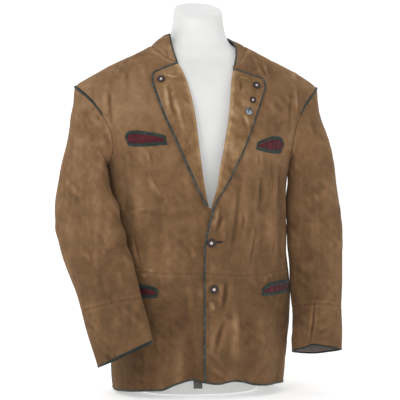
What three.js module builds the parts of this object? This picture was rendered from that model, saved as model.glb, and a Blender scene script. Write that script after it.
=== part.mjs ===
import * as THREE from 'three';

// A suede jacket on a limbless dress form, in millimetres, +Z up from the form's flat base.
// The wearer's left is +X and the front is -Y. A turn is an angle in degrees round the body:
// 0 at the front centre, 90 at the left side, 180 at the back centre, negative on the right.

const wall = 2; // suede with its backing
const seamGap = 0.35; // between two pieces at a seam
const lift = 0.5; // under a piece that lies on another
const shoulderGap = 1; // between the form's shoulders and the cloth that rests on them
const lapRise = 3.4; // the left front lies this far over the right one
const bindingRadius = 1.6; // round binding on every free edge
const bindingSides = 6;
const armholeLow = 500;
const armholeHigh = 665;
const armholeFront = 29; // how far the armhole cuts into the front, in degrees of turn
const armholeBack = 28;
const ringStep = 20; // degrees round a sleeve between two columns of its cloth
const ventTop = 170;
const frontColumns = 12;
const backColumns = 10;
const weltWidth = 8;

// Outline of the buttoned jacket at each height: half widths, depths and how square it is.
const bodySections = [
  { z: 0, left: 187, right: 187, front: 150, back: 152, square: 2.25 },
  { z: 60, left: 191, right: 191, front: 151, back: 153, square: 2.25 },
  { z: 120, left: 196, right: 195, front: 151, back: 152, square: 2.25 },
  { z: 190, left: 200, right: 199, front: 149, back: 149, square: 2.25 },
  { z: 270, left: 197, right: 197, front: 146, back: 143, square: 2.25 },
  { z: 340, left: 192, right: 192, front: 148, back: 140, square: 2.25 },
  { z: 420, left: 190, right: 190, front: 150, back: 138, square: 2.2 },
  { z: 460, left: 192, right: 192, front: 150, back: 137, square: 2.2 },
  { z: 500, left: 199, right: 199, front: 148, back: 136, square: 2.15 },
  { z: 560, left: 224, right: 224, front: 139, back: 131, square: 2.1 },
  { z: 610, left: 247, right: 248, front: 126, back: 122, square: 2.05 },
  { z: 645, left: 262, right: 264, front: 110, back: 112, square: 2 },
  { z: 665, left: 266, right: 270, front: 98, back: 103, square: 2 },
  { z: 682, left: 246, right: 248, front: 87, back: 94, square: 2 },
  { z: 699, left: 217, right: 219, front: 78, back: 86, square: 2 },
  { z: 720, left: 178, right: 179, front: 68, back: 78, square: 2 },
  { z: 739, left: 138, right: 138, front: 60, back: 71, square: 2 },
  { z: 758, left: 99, right: 101, front: 53, back: 66, square: 2 },
  { z: 772, left: 80, right: 80, front: 50, back: 62, square: 2 },
];

// Large soft folds: turn at the low and high end, half width in degrees, and rise of the ridge.
const folds = [
  { low: -50, high: 170, turnLow: -20, turnHigh: -17, wide: 6, rise: 3 },
  { low: -50, high: 150, turnLow: -10, turnHigh: -10, wide: 5, rise: -2.5 },
  { low: -50, high: 200, turnLow: -38, turnHigh: -36, wide: 8, rise: -4 },
  { low: -50, high: 205, turnLow: -56, turnHigh: -53, wide: 8, rise: 3 },
  { low: -50, high: 240, turnLow: 13, turnHigh: 12, wide: 5, rise: 2.5 },
  { low: -50, high: 220, turnLow: 24, turnHigh: 20, wide: 6, rise: -3.5 },
  { low: -50, high: 205, turnLow: 38, turnHigh: 35, wide: 8, rise: 3 },
  { low: -50, high: 205, turnLow: 58, turnHigh: 55, wide: 8, rise: -4 },
  { low: 262, high: 505, turnLow: 33, turnHigh: 39, wide: 6, rise: -3.5 },
  { low: 262, high: 515, turnLow: 46, turnHigh: 52, wide: 6, rise: 3.5 },
  { low: 270, high: 510, turnLow: 61, turnHigh: 63, wide: 7, rise: -4.5 },
  { low: 262, high: 510, turnLow: -47, turnHigh: -52, wide: 8, rise: 3 },
  { low: 262, high: 505, turnLow: -63, turnHigh: -61, wide: 8, rise: -4.5 },
  { low: -50, high: 500, turnLow: 128, turnHigh: 122, wide: 11, rise: 4 },
  { low: -50, high: 430, turnLow: 154, turnHigh: 157, wide: 10, rise: -4 },
  { low: -50, high: 480, turnLow: -130, turnHigh: -125, wide: 11, rise: 4 },
  { low: -50, high: 450, turnLow: -156, turnHigh: -153, wide: 10, rise: -4 },
];

// Hem height by turn; the centre lies higher than the sides.
const hemLine = [
  { turn: -180, z: 9 },
  { turn: -120, z: 8 },
  { turn: -90, z: 6 },
  { turn: -47, z: 15 },
  { turn: -31, z: 18 },
  { turn: -18.6, z: 34 },
  { turn: -9.2, z: 41 },
  { turn: -3.3, z: 36 },
  { turn: 3.6, z: 32 },
  { turn: 11.8, z: 38 },
  { turn: 31.7, z: 25 },
  { turn: 69, z: 19 },
  { turn: 90, z: 15 },
  { turn: 120, z: 12 },
  { turn: 180, z: 9 },
];

// Waist seam height by turn.
const waistLine = [
  { turn: -180, z: 273 },
  { turn: -80, z: 273 },
  { turn: -30, z: 270 },
  { turn: 0, z: 268 },
  { turn: 20, z: 263 },
  { turn: 45, z: 267 },
  { turn: 90, z: 273 },
  { turn: 180, z: 273 },
];

// Seam of the collar, by turn away from the front, on each side.
const neckLine = [
  { turn: 18, left: 709, right: 718 },
  { turn: 45, left: 741, right: 742 },
  { turn: 70, left: 753, right: 753 },
  { turn: 90, left: 757, right: 757 },
  { turn: 120, left: 754, right: 754 },
  { turn: 150, left: 746, right: 746 },
  { turn: 180, left: 742, right: 742 },
];

// Upper edge of the stand collar, by turn away from the front.
const collarTopLeft = [
  { turn: 18, x: 77, y: -40, z: 756 },
  { turn: 50, x: 74, y: -14, z: 766 },
  { turn: 90, x: 70, y: 12, z: 773 },
  { turn: 135, x: 53, y: 42, z: 780 },
  { turn: 180, x: 0, y: 58, z: 783 },
];
const collarTopRight = [
  { turn: 18, x: 69, y: -40, z: 780 },
  { turn: 50, x: 73, y: -14, z: 779 },
  { turn: 90, x: 75, y: 9, z: 778 },
  { turn: 135, x: 53, y: 44, z: 781 },
  { turn: 180, x: 0, y: 58, z: 783 },
];

// Lapels, from the break up: the roll line, the outer edge and the height of the roll.
const lapelRowsRight = [
  { row: 0, rollX: -3, rollZ: 407, edgeX: -7, edgeZ: 413, high: 4.2 },
  { row: 1, rollX: -7, rollZ: 425, edgeX: -18, edgeZ: 432, high: 4.6 },
  { row: 2, rollX: -12, rollZ: 450, edgeX: -33, edgeZ: 463, high: 5.4 },
  { row: 3, rollX: -18, rollZ: 490, edgeX: -52, edgeZ: 506, high: 6.8 },
  { row: 4, rollX: -24, rollZ: 545, edgeX: -75, edgeZ: 562, high: 8 },
  { row: 5, rollX: -29, rollZ: 600, edgeX: -95, edgeZ: 609, high: 8.6 },
  { row: 6, rollX: -36, rollZ: 650, edgeX: -108, edgeZ: 653, high: 9 },
  { row: 7, rollX: -43, rollZ: 682, edgeX: -113, edgeZ: 676, high: 9 },
  { row: 8, rollX: -50, rollZ: 702, edgeX: -111, edgeZ: 690, high: 8.6 },
  { row: 9, rollX: -58, rollZ: 716, edgeX: -105, edgeZ: 698, high: 8 },
];
const lapelRowsLeft = [
  { row: 0, rollX: 2, rollZ: 405, edgeX: 6, edgeZ: 410, high: 4.2 },
  { row: 1, rollX: 7, rollZ: 424, edgeX: 17, edgeZ: 429, high: 4.6 },
  { row: 2, rollX: 14, rollZ: 450, edgeX: 38, edgeZ: 462, high: 5.4 },
  { row: 3, rollX: 21, rollZ: 490, edgeX: 57, edgeZ: 498, high: 6.8 },
  { row: 4, rollX: 33, rollZ: 545, edgeX: 84, edgeZ: 551, high: 8 },
  { row: 5, rollX: 44, rollZ: 600, edgeX: 107, edgeZ: 606, high: 8.6 },
  { row: 6, rollX: 51, rollZ: 642, edgeX: 124, edgeZ: 645, high: 9 },
  { row: 7, rollX: 56, rollZ: 670, edgeX: 132, edgeZ: 666, high: 9 },
  { row: 8, rollX: 61, rollZ: 690, edgeX: 131, edgeZ: 677, high: 8.6 },
  { row: 9, rollX: 65, rollZ: 703, edgeX: 124, edgeZ: 685, high: 8 },
];

// Front edge of the left front, which laps over.
const frontEdge = [
  { z: 0, x: -11 },
  { z: 37, x: -11 },
  { z: 67, x: -13 },
  { z: 309, x: -12 },
  { z: 341, x: -9 },
  { z: 370, x: -3 },
  { z: 395, x: 4.5 },
];
const hiddenEdge = 26; // where the right front ends, under the left one

// Sleeves, by ring: the outer edge, the inner edge and half the thickness between front and back.
const sleeveRowsRight = [
  { ring: 0, outX: -270, outY: 2, outZ: 665, inX: -199, inY: 2, inZ: 500, half: 66 },
  { ring: 1, outX: -273, outY: 9, outZ: 632, inX: -207, inY: -4, inZ: 486, half: 65 },
  { ring: 2, outX: -278, outY: 13, outZ: 603, inX: -204, inY: -17, inZ: 465, half: 61 },
  { ring: 3, outX: -286, outY: 12, outZ: 547, inX: -199, inY: -42, inZ: 438, half: 54 },
  { ring: 4, outX: -300, outY: 10, outZ: 473, inX: -188, inY: -81, inZ: 411, half: 47 },
  { ring: 5, outX: -310, outY: 1, outZ: 404, inX: -183, inY: -101, inZ: 373, half: 44 },
  { ring: 6, outX: -312, outY: -8, outZ: 361, inX: -178, inY: -113, inZ: 344, half: 43 },
  { ring: 7, outX: -304, outY: -20, outZ: 323, inX: -172, inY: -124, inZ: 319, half: 42 },
  { ring: 8, outX: -293, outY: -35, outZ: 283, inX: -167, inY: -137, inZ: 295, half: 40 },
  { ring: 9, outX: -274, outY: -54, outZ: 226, inX: -158, inY: -151, inZ: 254, half: 37 },
  { ring: 10, outX: -261, outY: -71, outZ: 179, inX: -150, inY: -160, inZ: 215, half: 33 },
  { ring: 11, outX: -246, outY: -88, outZ: 122, inX: -138, inY: -169, inZ: 170, half: 30 },
  { ring: 12, outX: -233, outY: -102, outZ: 76, inX: -128, inY: -177, inZ: 133, half: 28 },
];
const sleeveRowsLeft = [
  { ring: 0, outX: 266, outY: 2, outZ: 665, inX: 199, inY: 2, inZ: 500, half: 66 },
  { ring: 1, outX: 269, outY: -2, outZ: 631, inX: 205, inY: 0, inZ: 487, half: 67 },
  { ring: 2, outX: 275, outY: -6, outZ: 600, inX: 204, inY: -4, inZ: 471, half: 66 },
  { ring: 3, outX: 288, outY: -12, outZ: 564, inX: 203, inY: -10, inZ: 453, half: 64 },
  { ring: 4, outX: 302, outY: -18, outZ: 495, inX: 200, inY: -16, inZ: 423, half: 61 },
  { ring: 5, outX: 312, outY: -26, outZ: 407, inX: 198, inY: -24, inZ: 375, half: 58 },
  { ring: 6, outX: 317, outY: -34, outZ: 347, inX: 198, inY: -32, inZ: 331, half: 56 },
  { ring: 7, outX: 312, outY: -48, outZ: 269, inX: 200, inY: -46, inZ: 270, half: 52 },
  { ring: 8, outX: 307, outY: -66, outZ: 200, inX: 199, inY: -64, inZ: 202, half: 48 },
  { ring: 9, outX: 304, outY: -80, outZ: 145, inX: 197, inY: -78, inZ: 153, half: 45 },
  { ring: 10, outX: 302, outY: -88, outZ: 102, inX: 196, inY: -86, inZ: 104, half: 43 },
];

// Folds across the sleeves: ring and angle of the middle, half sizes, and rise.
const sleeveFoldsRight = [
  { ring: 2.2, at: 60, rings: 0.6, wide: 45, rise: -3 },
  { ring: 4.6, at: 160, rings: 0.5, wide: 50, rise: -3 },
  { ring: 5.6, at: 170, rings: 0.5, wide: 60, rise: 3 },
  { ring: 6.6, at: 165, rings: 0.4, wide: 55, rise: -3 },
  { ring: 7.6, at: 60, rings: 0.5, wide: 50, rise: 2.5 },
  { ring: 9.2, at: 100, rings: 0.5, wide: 60, rise: -2.5 },
];
const sleeveFoldsLeft = [
  { ring: 2.5, at: 80, rings: 0.6, wide: 40, rise: -3 },
  { ring: 5.2, at: 150, rings: 0.4, wide: 50, rise: -2.5 },
  { ring: 6.2, at: 120, rings: 0.5, wide: 60, rise: 2.5 },
  { ring: 7.4, at: 90, rings: 0.5, wide: 70, rise: -3 },
];

// How far the mouth of each cuff is raised or lowered around it.
const cuffEdgeRight = [
  { at: 0, z: -5 }, { at: 45, z: -7 }, { at: 90, z: -6 }, { at: 135, z: -3 }, { at: 180, z: 0 },
  { at: 270, z: 0 }, { at: 315, z: -3 }, { at: 360, z: -5 },
];
const cuffEdgeLeft = [
  { at: 0, z: -7 }, { at: 45, z: -6 }, { at: 80, z: -2 }, { at: 110, z: 1.5 }, { at: 135, z: -5 },
  { at: 180, z: -10 }, { at: 225, z: -12 }, { at: 270, z: -13.6 }, { at: 315, z: -10 }, { at: 360, z: -7 },
];

const arms = [
  {
    name: 'right',
    side: -1,
    rows: sleeveRowsRight,
    folds: sleeveFoldsRight,
    rings: [0, 0.45, 0.9, 1.4, 2, 2.8, 3.6, 4.5, 5.4, 6.3, 7.2, 8.2, 9.1, 9.85],
    cuffRings: [9.857, 10.9, 12],
    cuffEdge: cuffEdgeRight,
  },
  {
    name: 'left',
    side: 1,
    rows: sleeveRowsLeft,
    folds: sleeveFoldsLeft,
    rings: [0, 0.45, 0.9, 1.4, 2, 2.8, 3.6, 4.4, 5.2, 6, 6.8, 7.6, 8.3],
    cuffRings: [8.307, 9.2, 10],
    cuffEdge: cuffEdgeLeft,
  },
];

// Pocket outlines by turn: upper and lower edge.
const pockets = [
  {
    name: 'chest_pocket_right',
    rows: [
      { turn: -23, top: 560, low: 541 },
      { turn: -27, top: 565, low: 540 },
      { turn: -34, top: 569, low: 538 },
      { turn: -41, top: 572, low: 537 },
      { turn: -46, top: 570, low: 537.5 },
      { turn: -50.5, top: 559, low: 538.5 },
    ],
  },
  {
    name: 'chest_pocket_left',
    rows: [
      { turn: 28, top: 547, low: 531 },
      { turn: 32, top: 552, low: 528 },
      { turn: 36, top: 557, low: 525 },
      { turn: 41, top: 560, low: 523 },
      { turn: 46, top: 558, low: 522 },
      { turn: 52, top: 543, low: 521.5 },
    ],
  },
  {
    name: 'lower_pocket_right',
    rows: [
      { turn: -30.5, top: 236, low: 218 },
      { turn: -35, top: 242, low: 216 },
      { turn: -42, top: 245, low: 216 },
      { turn: -50, top: 247, low: 217 },
      { turn: -60, top: 249, low: 218 },
      { turn: -69, top: 247, low: 220 },
    ],
  },
  {
    name: 'lower_pocket_left',
    rows: [
      { turn: 33, top: 233, low: 218 },
      { turn: 37, top: 241, low: 217 },
      { turn: 43, top: 246, low: 217 },
      { turn: 51, top: 247, low: 217.5 },
      { turn: 60, top: 248, low: 218.5 },
      { turn: 69, top: 246, low: 220 },
    ],
  },
];

// Sections of the dress form. The neck leans forward and its top is cut at a slope.
const formSections = [
  { z: 0, wide: 125, front: 80, back: 80, slope: 0 },
  { z: 6, wide: 129, front: 84, back: 84, slope: 0 },
  { z: 40, wide: 146, front: 96, back: 97, slope: 0 },
  { z: 110, wide: 165, front: 112, back: 115, slope: 0 },
  { z: 180, wide: 168, front: 112, back: 118, slope: 0 },
  { z: 283, wide: 150, front: 98, back: 100, slope: 0 },
  { z: 400, wide: 160, front: 112, back: 105, slope: 0 },
  { z: 500, wide: 172, front: 124, back: 112, slope: 0 },
  { z: 580, wide: 176, front: 122, back: 111, slope: 0 },
  { z: 640, wide: 179, front: 103, back: 99, slope: 0 },
  { z: 680, wide: 185, front: 83, back: 86, slope: 0 },
  { z: 700, wide: 184, front: 72, back: 79, slope: 0 },
  { z: 745, wide: 102, front: 50, back: 57, slope: 0 },
  { z: 755, wide: 79, front: 47, back: 54, slope: 0.01 },
  { z: 764, wide: 68, front: 45.5, back: 52.5, slope: 0.02 },
  { z: 775, wide: 63, front: 45, back: 51, slope: 0.05 },
  { z: 785, wide: 59.5, front: 46, back: 51, slope: 0.1 },
  { z: 803, wide: 56, front: 49, back: 54, slope: 0.22 },
  { z: 822, wide: 54, front: 51, back: 52, slope: 0.34 },
  { z: 833, wide: 52.5, front: 51, back: 51, slope: 0.4 },
  { z: 836, wide: 49.5, front: 48, back: 48, slope: 0.4 },
];
const formShoulders = [712, 722, 732]; // here the form follows the inside of the cloth
const formSquare = 2.2;
const formSides = 24;

// Buttons, by place on the cloth; the lapel ones lie on their lapel.
const buttons = [
  { name: 'button_waist', x: 2, z: 334, radius: 9.5, on: 'front' },
  { name: 'button_skirt', x: 8, z: 235, radius: 9.5, on: 'front' },
  { name: 'button_lapel_right', x: -95, z: 680, radius: 8.5, on: 'lapelRight' },
  { name: 'button_lapel_left_upper', x: 111, z: 668, radius: 8.5, on: 'lapelLeft' },
  { name: 'button_lapel_left_lower', x: 99, z: 636, radius: 7.5, on: 'lapelLeft' },
];
const stud = { name: 'stud_lapel_left', x: 89, z: 612, radius: 8.5, on: 'lapelLeft' };

const finishes = {
  suede: new THREE.MeshStandardMaterial({ color: 0x7a5a3e, roughness: 0.95, metalness: 0 }),
  binding: new THREE.MeshStandardMaterial({ color: 0x45463c, roughness: 0.85, metalness: 0 }),
  pocketInside: new THREE.MeshStandardMaterial({ color: 0x4e2427, roughness: 0.9, metalness: 0 }),
  lining: new THREE.MeshStandardMaterial({ color: 0x695e5a, roughness: 0.6, metalness: 0 }),
  facing: new THREE.MeshStandardMaterial({ color: 0x232b26, roughness: 0.85, metalness: 0 }),
  form: new THREE.MeshStandardMaterial({ color: 0xf2f3f0, roughness: 0.45, metalness: 0 }),
  horn: new THREE.MeshStandardMaterial({ color: 0x3c2418, roughness: 0.35, metalness: 0 }),
  pearl: new THREE.MeshStandardMaterial({ color: 0xe2cfc8, roughness: 0.25, metalness: 0 }),
  metal: new THREE.MeshStandardMaterial({ color: 0x8b8984, roughness: 0.35, metalness: 0.9 }),
};

const jacket = new THREE.Group();

const radians = THREE.MathUtils.degToRad;
const degrees = THREE.MathUtils.radToDeg;
const signedPower = (value, power) => Math.sign(value) * Math.abs(value) ** power;
const ease = (value) => THREE.MathUtils.smoothstep(value, 0, 1);
const mix = THREE.MathUtils.lerp;
const spread = (count) => Array.from({ length: count }, (_, k) => k / (count - 1));

// A column of a table at any place along it, smooth and without overshoot.
function along(table, place, column, at) {
  const last = table.length - 1;
  const spot = THREE.MathUtils.clamp(at, table[0][place], table[last][place]);
  let k = 0;
  while (k < last - 1 && table[k + 1][place] <= spot) k += 1;
  const slope = (i) => (table[i + 1][column] - table[i][column]) / (table[i + 1][place] - table[i][place]);
  const tangent = (i) => {
    if (i === 0) return slope(0);
    if (i === last) return slope(last - 1);
    const before = slope(i - 1);
    const after = slope(i);
    if (before * after <= 0) return 0;
    const left = table[i][place] - table[i - 1][place];
    const right = table[i + 1][place] - table[i][place];
    return (3 * (left + right)) / ((2 * right + left) / before + (right + 2 * left) / after);
  };
  const step = table[k + 1][place] - table[k][place];
  const t = (spot - table[k][place]) / step;
  return table[k][column] * (1 + 2 * t) * (1 - t) ** 2
    + tangent(k) * step * t * (1 - t) ** 2
    + table[k + 1][column] * t * t * (3 - 2 * t)
    + tangent(k + 1) * step * t * t * (t - 1);
}

function bodySection(turn, z) {
  const sine = Math.sin(radians(turn));
  const cosine = Math.cos(radians(turn));
  const half = along(bodySections, 'z', sine < 0 ? 'right' : 'left', z);
  const depth = along(bodySections, 'z', cosine > 0 ? 'front' : 'back', z);
  const power = 2 / along(bodySections, 'z', 'square', z);
  return new THREE.Vector3(half * signedPower(sine, power), -depth * signedPower(cosine, power), z);
}

function foldRise(turn, z) {
  let rise = 0;
  for (const fold of folds) {
    const middle = mix(fold.turnLow, fold.turnHigh, (z - fold.low) / (fold.high - fold.low));
    const away = (((turn - middle + 540) % 360) - 180) / fold.wide;
    rise += fold.rise * Math.exp(-away * away) * ease((z - fold.low) / 50) * ease((fold.high - z) / 80);
  }
  return rise;
}

// A point of the body cloth, moved out from its outer face.
function clothPoint(turn, z, out) {
  const across = bodySection(turn + 0.4, z).sub(bodySection(turn - 0.4, z));
  const up = bodySection(turn, z + 1).sub(bodySection(turn, z - 1));
  const normal = across.cross(up).normalize();
  return bodySection(turn, z).addScaledVector(normal, out + foldRise(turn, z));
}

// How far the left front is lifted where it laps over the right one.
function lapLift(turn, z) {
  return lapRise * ease((30 - turn) / 18) * ease((540 - z) / 100);
}

function frontPoint(side, turn, z, out) {
  return clothPoint(turn, z, out + (side > 0 ? lapLift(turn, z) : 0));
}

// The turn at which the body section reaches a given x on the front.
function turnAtX(x, z) {
  const half = along(bodySections, 'z', x < 0 ? 'right' : 'left', z);
  const power = along(bodySections, 'z', 'square', z) / 2;
  return Math.sign(x) * degrees(Math.asin(Math.min(1, Math.abs(x) / half) ** power));
}

// A small step in turn away from a side or centre seam that is this many millimetres wide.
function seamTurn(z, gap, column) {
  const reach = along(bodySections, 'z', column, z);
  return degrees((gap / reach) ** (along(bodySections, 'z', 'square', z) / 2));
}

// Turn and height of the armhole seam. At 0 degrees it is at the shoulder and at 90 in front.
function armhole(at, grow) {
  const middle = (armholeLow + armholeHigh) / 2;
  const half = (armholeHigh - armholeLow) / 2 + grow;
  const sine = Math.sin(radians(at));
  const z = middle + half * Math.cos(radians(at));
  const cut = (sine > 0 ? armholeFront : armholeBack) + grow / 2;
  return { turn: 90 - Math.sign(sine) * cut * Math.abs(sine) ** 1.1, z };
}

function addPiece(name, geometry, finish) {
  const piece = new THREE.Mesh(geometry, finish.clone());
  piece.name = name;
  jacket.add(piece);
  return piece;
}

function closedGeometry(points, faces) {
  let volume = 0;
  for (const [a, b, c] of faces) volume += points[a].dot(points[b].clone().cross(points[c]));
  const index = volume > 0 ? faces : faces.map(([a, b, c]) => [a, c, b]);
  const geometry = new THREE.BufferGeometry().setFromPoints(points);
  geometry.setIndex(index.flat());
  geometry.computeVertexNormals();
  return geometry;
}

// Cloth between an outer and an inner grid of points, closed along its edges.
// A round piece joins its last column to its first.
function clothWall(outer, inner, round = false) {
  const rows = outer.length;
  const columns = outer[0].length;
  const spans = round ? columns : columns - 1;
  const faces = [];
  const at = (face, row, column) => (face * rows + row) * columns + (column % columns);
  const quad = (a, b, c, d) => faces.push([a, b, c], [a, c, d]);
  for (let row = 0; row < rows - 1; row += 1) {
    for (let column = 0; column < spans; column += 1) {
      quad(at(0, row, column), at(0, row, column + 1), at(0, row + 1, column + 1), at(0, row + 1, column));
      quad(at(1, row, column), at(1, row + 1, column), at(1, row + 1, column + 1), at(1, row, column + 1));
    }
    if (!round) {
      const end = columns - 1;
      quad(at(0, row, 0), at(0, row + 1, 0), at(1, row + 1, 0), at(1, row, 0));
      quad(at(0, row, end), at(1, row, end), at(1, row + 1, end), at(0, row + 1, end));
    }
  }
  const top = rows - 1;
  for (let column = 0; column < spans; column += 1) {
    quad(at(0, 0, column), at(1, 0, column), at(1, 0, column + 1), at(0, 0, column + 1));
    quad(at(0, top, column), at(0, top, column + 1), at(1, top, column + 1), at(1, top, column));
  }
  return closedGeometry([...outer.flat(), ...inner.flat()], faces);
}

// Both faces of a sheet given by its middle points, moved out by the lowest and highest offsets.
function bothFaces(grid, low, high, round = false) {
  const columns = grid[0].length;
  const pick = (row, column) => {
    const spot = round ? (column + columns) % columns : THREE.MathUtils.clamp(column, 0, columns - 1);
    return grid[THREE.MathUtils.clamp(row, 0, grid.length - 1)][spot];
  };
  const moved = (out) => grid.map((points, row) => points.map((point, column) => {
    const across = pick(row, column + 1).clone().sub(pick(row, column - 1));
    const up = pick(row + 1, column).clone().sub(pick(row - 1, column));
    return point.clone().addScaledVector(across.cross(up).normalize(), out);
  }));
  return [moved(high), moved(low)];
}

function solidFromRings(rings) {
  const sides = rings[0].length;
  const points = rings.flat();
  const faces = [];
  const centre = (ring) => ring.reduce((sum, point) => sum.add(point), new THREE.Vector3()).divideScalar(sides);
  const bottom = points.push(centre(rings[0])) - 1;
  const top = points.push(centre(rings.at(-1))) - 1;
  const last = (rings.length - 1) * sides;
  for (let side = 0; side < sides; side += 1) {
    const next = (side + 1) % sides;
    for (let row = 0; row < rings.length - 1; row += 1) {
      const low = row * sides;
      faces.push([low + side, low + next, low + sides + next], [low + side, low + sides + next, low + sides + side]);
    }
    faces.push([bottom, next, side], [top, last + side, last + next]);
  }
  return closedGeometry(points, faces);
}

// A line that bends only at its given points, so that binding follows the cloth it is sewn to.
class SewnLine extends THREE.Curve {
  constructor(points) {
    super();
    this.points = points;
  }

  getPoint(t, target = new THREE.Vector3()) {
    const place = t * (this.points.length - 1);
    const k = Math.min(Math.floor(place + 1e-6), this.points.length - 2);
    return target.lerpVectors(this.points[k], this.points[k + 1], place - k);
  }

  getPointAt(t, target) {
    return this.getPoint(t, target);
  }

  getTangentAt(t, target = new THREE.Vector3()) {
    const k = Math.round(t * (this.points.length - 1));
    const here = this.points[k];
    const before = this.points[Math.max(k - 1, 0)];
    const after = this.points[Math.min(k + 1, this.points.length - 1)];
    const arriving = here.clone().sub(before).normalize();
    const leaving = after.clone().sub(here).normalize();
    return target.copy(arriving).add(leaving).normalize();
  }
}

function bindingGeometry(points, radius) {
  const corners = Array.from({ length: bindingSides }, (_, k) => {
    const angle = (2 * Math.PI * k) / bindingSides;
    return new THREE.Vector2(radius * Math.cos(angle), radius * Math.sin(angle));
  });
  const path = new SewnLine(points);
  return new THREE.ExtrudeGeometry(new THREE.Shape(corners), { steps: points.length - 1, extrudePath: path });
}

// Lapels
function lapelShape(side, row) {
  const rows = side > 0 ? lapelRowsLeft : lapelRowsRight;
  const value = (column) => along(rows, 'row', column, row);
  const roll = new THREE.Vector2(value('rollX'), value('rollZ'));
  const edge = new THREE.Vector2(value('edgeX'), value('edgeZ'));
  const width = roll.distanceTo(edge);
  const high = value('high');
  return { roll, edge, width, high, curl: Math.min(6, width * 0.4) };
}

// The place on the front under a lapel, this far from its roll line.
function underLapel(shape, distance) {
  return shape.roll.clone().lerp(shape.edge, distance / shape.width);
}

function lapelPoint(side, row, step) {
  const shape = lapelShape(side, row);
  const edgeOut = 1 + lift + (side > 0 ? 1.4 : 1.6);
  if (step <= 1) {
    const angle = Math.PI * (step - 0.5);
    const place = underLapel(shape, shape.curl * (1 - Math.cos(angle)));
    const out = -wall / 2 + (shape.high / 2) * (1 + Math.sin(angle));
    return frontPoint(side, turnAtX(place.x, place.y), place.y, out);
  }
  const share = step - 1;
  const place = underLapel(shape, mix(shape.curl, shape.width, share));
  const out = mix(shape.high - wall / 2, edgeOut, ease(share));
  return frontPoint(side, turnAtX(place.x, place.y), place.y, out);
}

const lapelSteps = [0, 0.25, 0.5, 0.75, 1, 1.25, 1.5, 1.75, 2];
const lapelTop = 9; // the last row of a lapel
const lapelTrim = 0.15; // the cloth of a lapel stops this far short of its first and last row

function seamUnderLapel(side, row) {
  const shape = lapelShape(side, row);
  return underLapel(shape, shape.curl);
}

// The lapel row that starts at this height of the front.
function lapelRowAt(side, z) {
  let low = 0;
  let high = lapelTop;
  for (let step = 0; step < 30; step += 1) {
    const middle = (low + high) / 2;
    if (seamUnderLapel(side, middle).y < z) low = middle;
    else high = middle;
  }
  return low;
}

// The line where the front ends and its lapel turns out, by height.
function frontLimit(side, z) {
  const start = seamUnderLapel(side, 0);
  if (z >= start.y) return seamUnderLapel(side, lapelRowAt(side, z)).x + side * 4 * seamGap;
  if (side > 0) return Math.min(along(frontEdge, 'z', 'x', z), start.x - seamGap);
  return mix(start.x - 3 * seamGap, hiddenEdge, ease((start.y - 1 - z) / 12));
}

// Fronts and backs above the waist
const waistRows = [0, 0.25, 0.5, 0.7, 0.82, 0.9, 0.96];
const breakRows = [0, 0.2, 0.55, 1];
const armholeRows = Array.from({ length: 180 / ringStep }, (_, k) => 180 - ringStep * (k + 1));

function upperHeights(side, neck, waist) {
  const start = seamUnderLapel(side, 0).y;
  const lapelEnd = (seamUnderLapel(side, lapelTop).y - armholeHigh) / (frontNeck(side, 0) - armholeHigh);
  const plain = [
    ...waistRows.map((share) => mix(waist, start, share)),
    ...breakRows.map((share) => mix(start, armholeLow, share)),
  ];
  return [
    ...plain.map((z) => ({ z, at: null })),
    ...armholeRows.map((at) => ({ z: armhole(at, 0).z, at })),
    ...[lapelEnd / 3, lapelEnd / 1.5, lapelEnd, 1].map((share) => ({ z: mix(armholeHigh, neck, share), at: null })),
  ];
}

function lapelRows(side) {
  const start = seamUnderLapel(side, 0).y;
  const end = seamUnderLapel(side, lapelTop).y;
  const heights = upperHeights(side, frontNeck(side, 0), 268).map((row) => row.z);
  const between = heights.filter((z) => z > start + 1 && z < end - 3);
  return [lapelTrim, ...between.map((z) => lapelRowAt(side, z)), lapelTop - lapelTrim];
}

function lapelGrid(side) {
  return lapelRows(side).map((row) => lapelSteps.map((step) => lapelPoint(side, row, step)));
}

function neckHeight(side, turn) {
  return along(neckLine, 'turn', side > 0 ? 'left' : 'right', Math.abs(turn));
}

function waistHeight(turn) {
  return along(waistLine, 'turn', 'z', turn);
}

// The turn of a column of the front or the back at a height, between its two seams.
function frontTurn(side, share, z, rim) {
  return mix(turnAtX(frontLimit(side, z), z), side * rim, share);
}

function backTurn(side, share, z, rim) {
  return side * mix(rim, 180 - seamTurn(z, seamGap / 2, 'left'), share);
}

function rimTurn(z, at, front) {
  const open = at !== null && at !== 0;
  if (front) return open ? armhole(at, 0).turn : 90 - seamTurn(z, seamGap / 2, 'front');
  return open ? armhole(-at, 0).turn : 90 + seamTurn(z, seamGap / 2, 'back');
}

// The height at which a front column meets the neck seam.
function frontNeck(side, share) {
  let z = 730;
  for (let k = 0; k < 12; k += 1) z = neckHeight(side, frontTurn(side, share, z, rimTurn(z, null, true)));
  return z;
}

function upperGrid(side, front, columns, out) {
  const turnOf = front ? frontTurn : backTurn;
  const places = spread(columns);
  const heights = places.map((share) => {
    const neck = front ? frontNeck(side, share) : neckHeight(side, mix(90, 180, share));
    const waist = waistHeight(turnOf(side, share, 270, 90)) + seamGap / 2;
    return upperHeights(side, neck, waist);
  });
  return heights[0].map((_, row) => places.map((share, column) => {
    const { z, at } = heights[column][row];
    const turn = turnOf(side, share, z, rimTurn(z, at, front));
    return front ? frontPoint(side, turn, z, out) : clothPoint(turn, z, out);
  }));
}

for (const [name, side] of [['left', 1], ['right', -1]]) {
  const front = clothWall(upperGrid(side, true, frontColumns, 0), upperGrid(side, true, frontColumns, -wall));
  addPiece(`front_${name}`, front, finishes.suede);
  const back = clothWall(upperGrid(side, false, backColumns, 0), upperGrid(side, false, backColumns, -wall));
  addPiece(`back_${name}`, back, finishes.suede);
}

// Skirts below the waist
const bindingReach = bindingRadius + seamGap;

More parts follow.
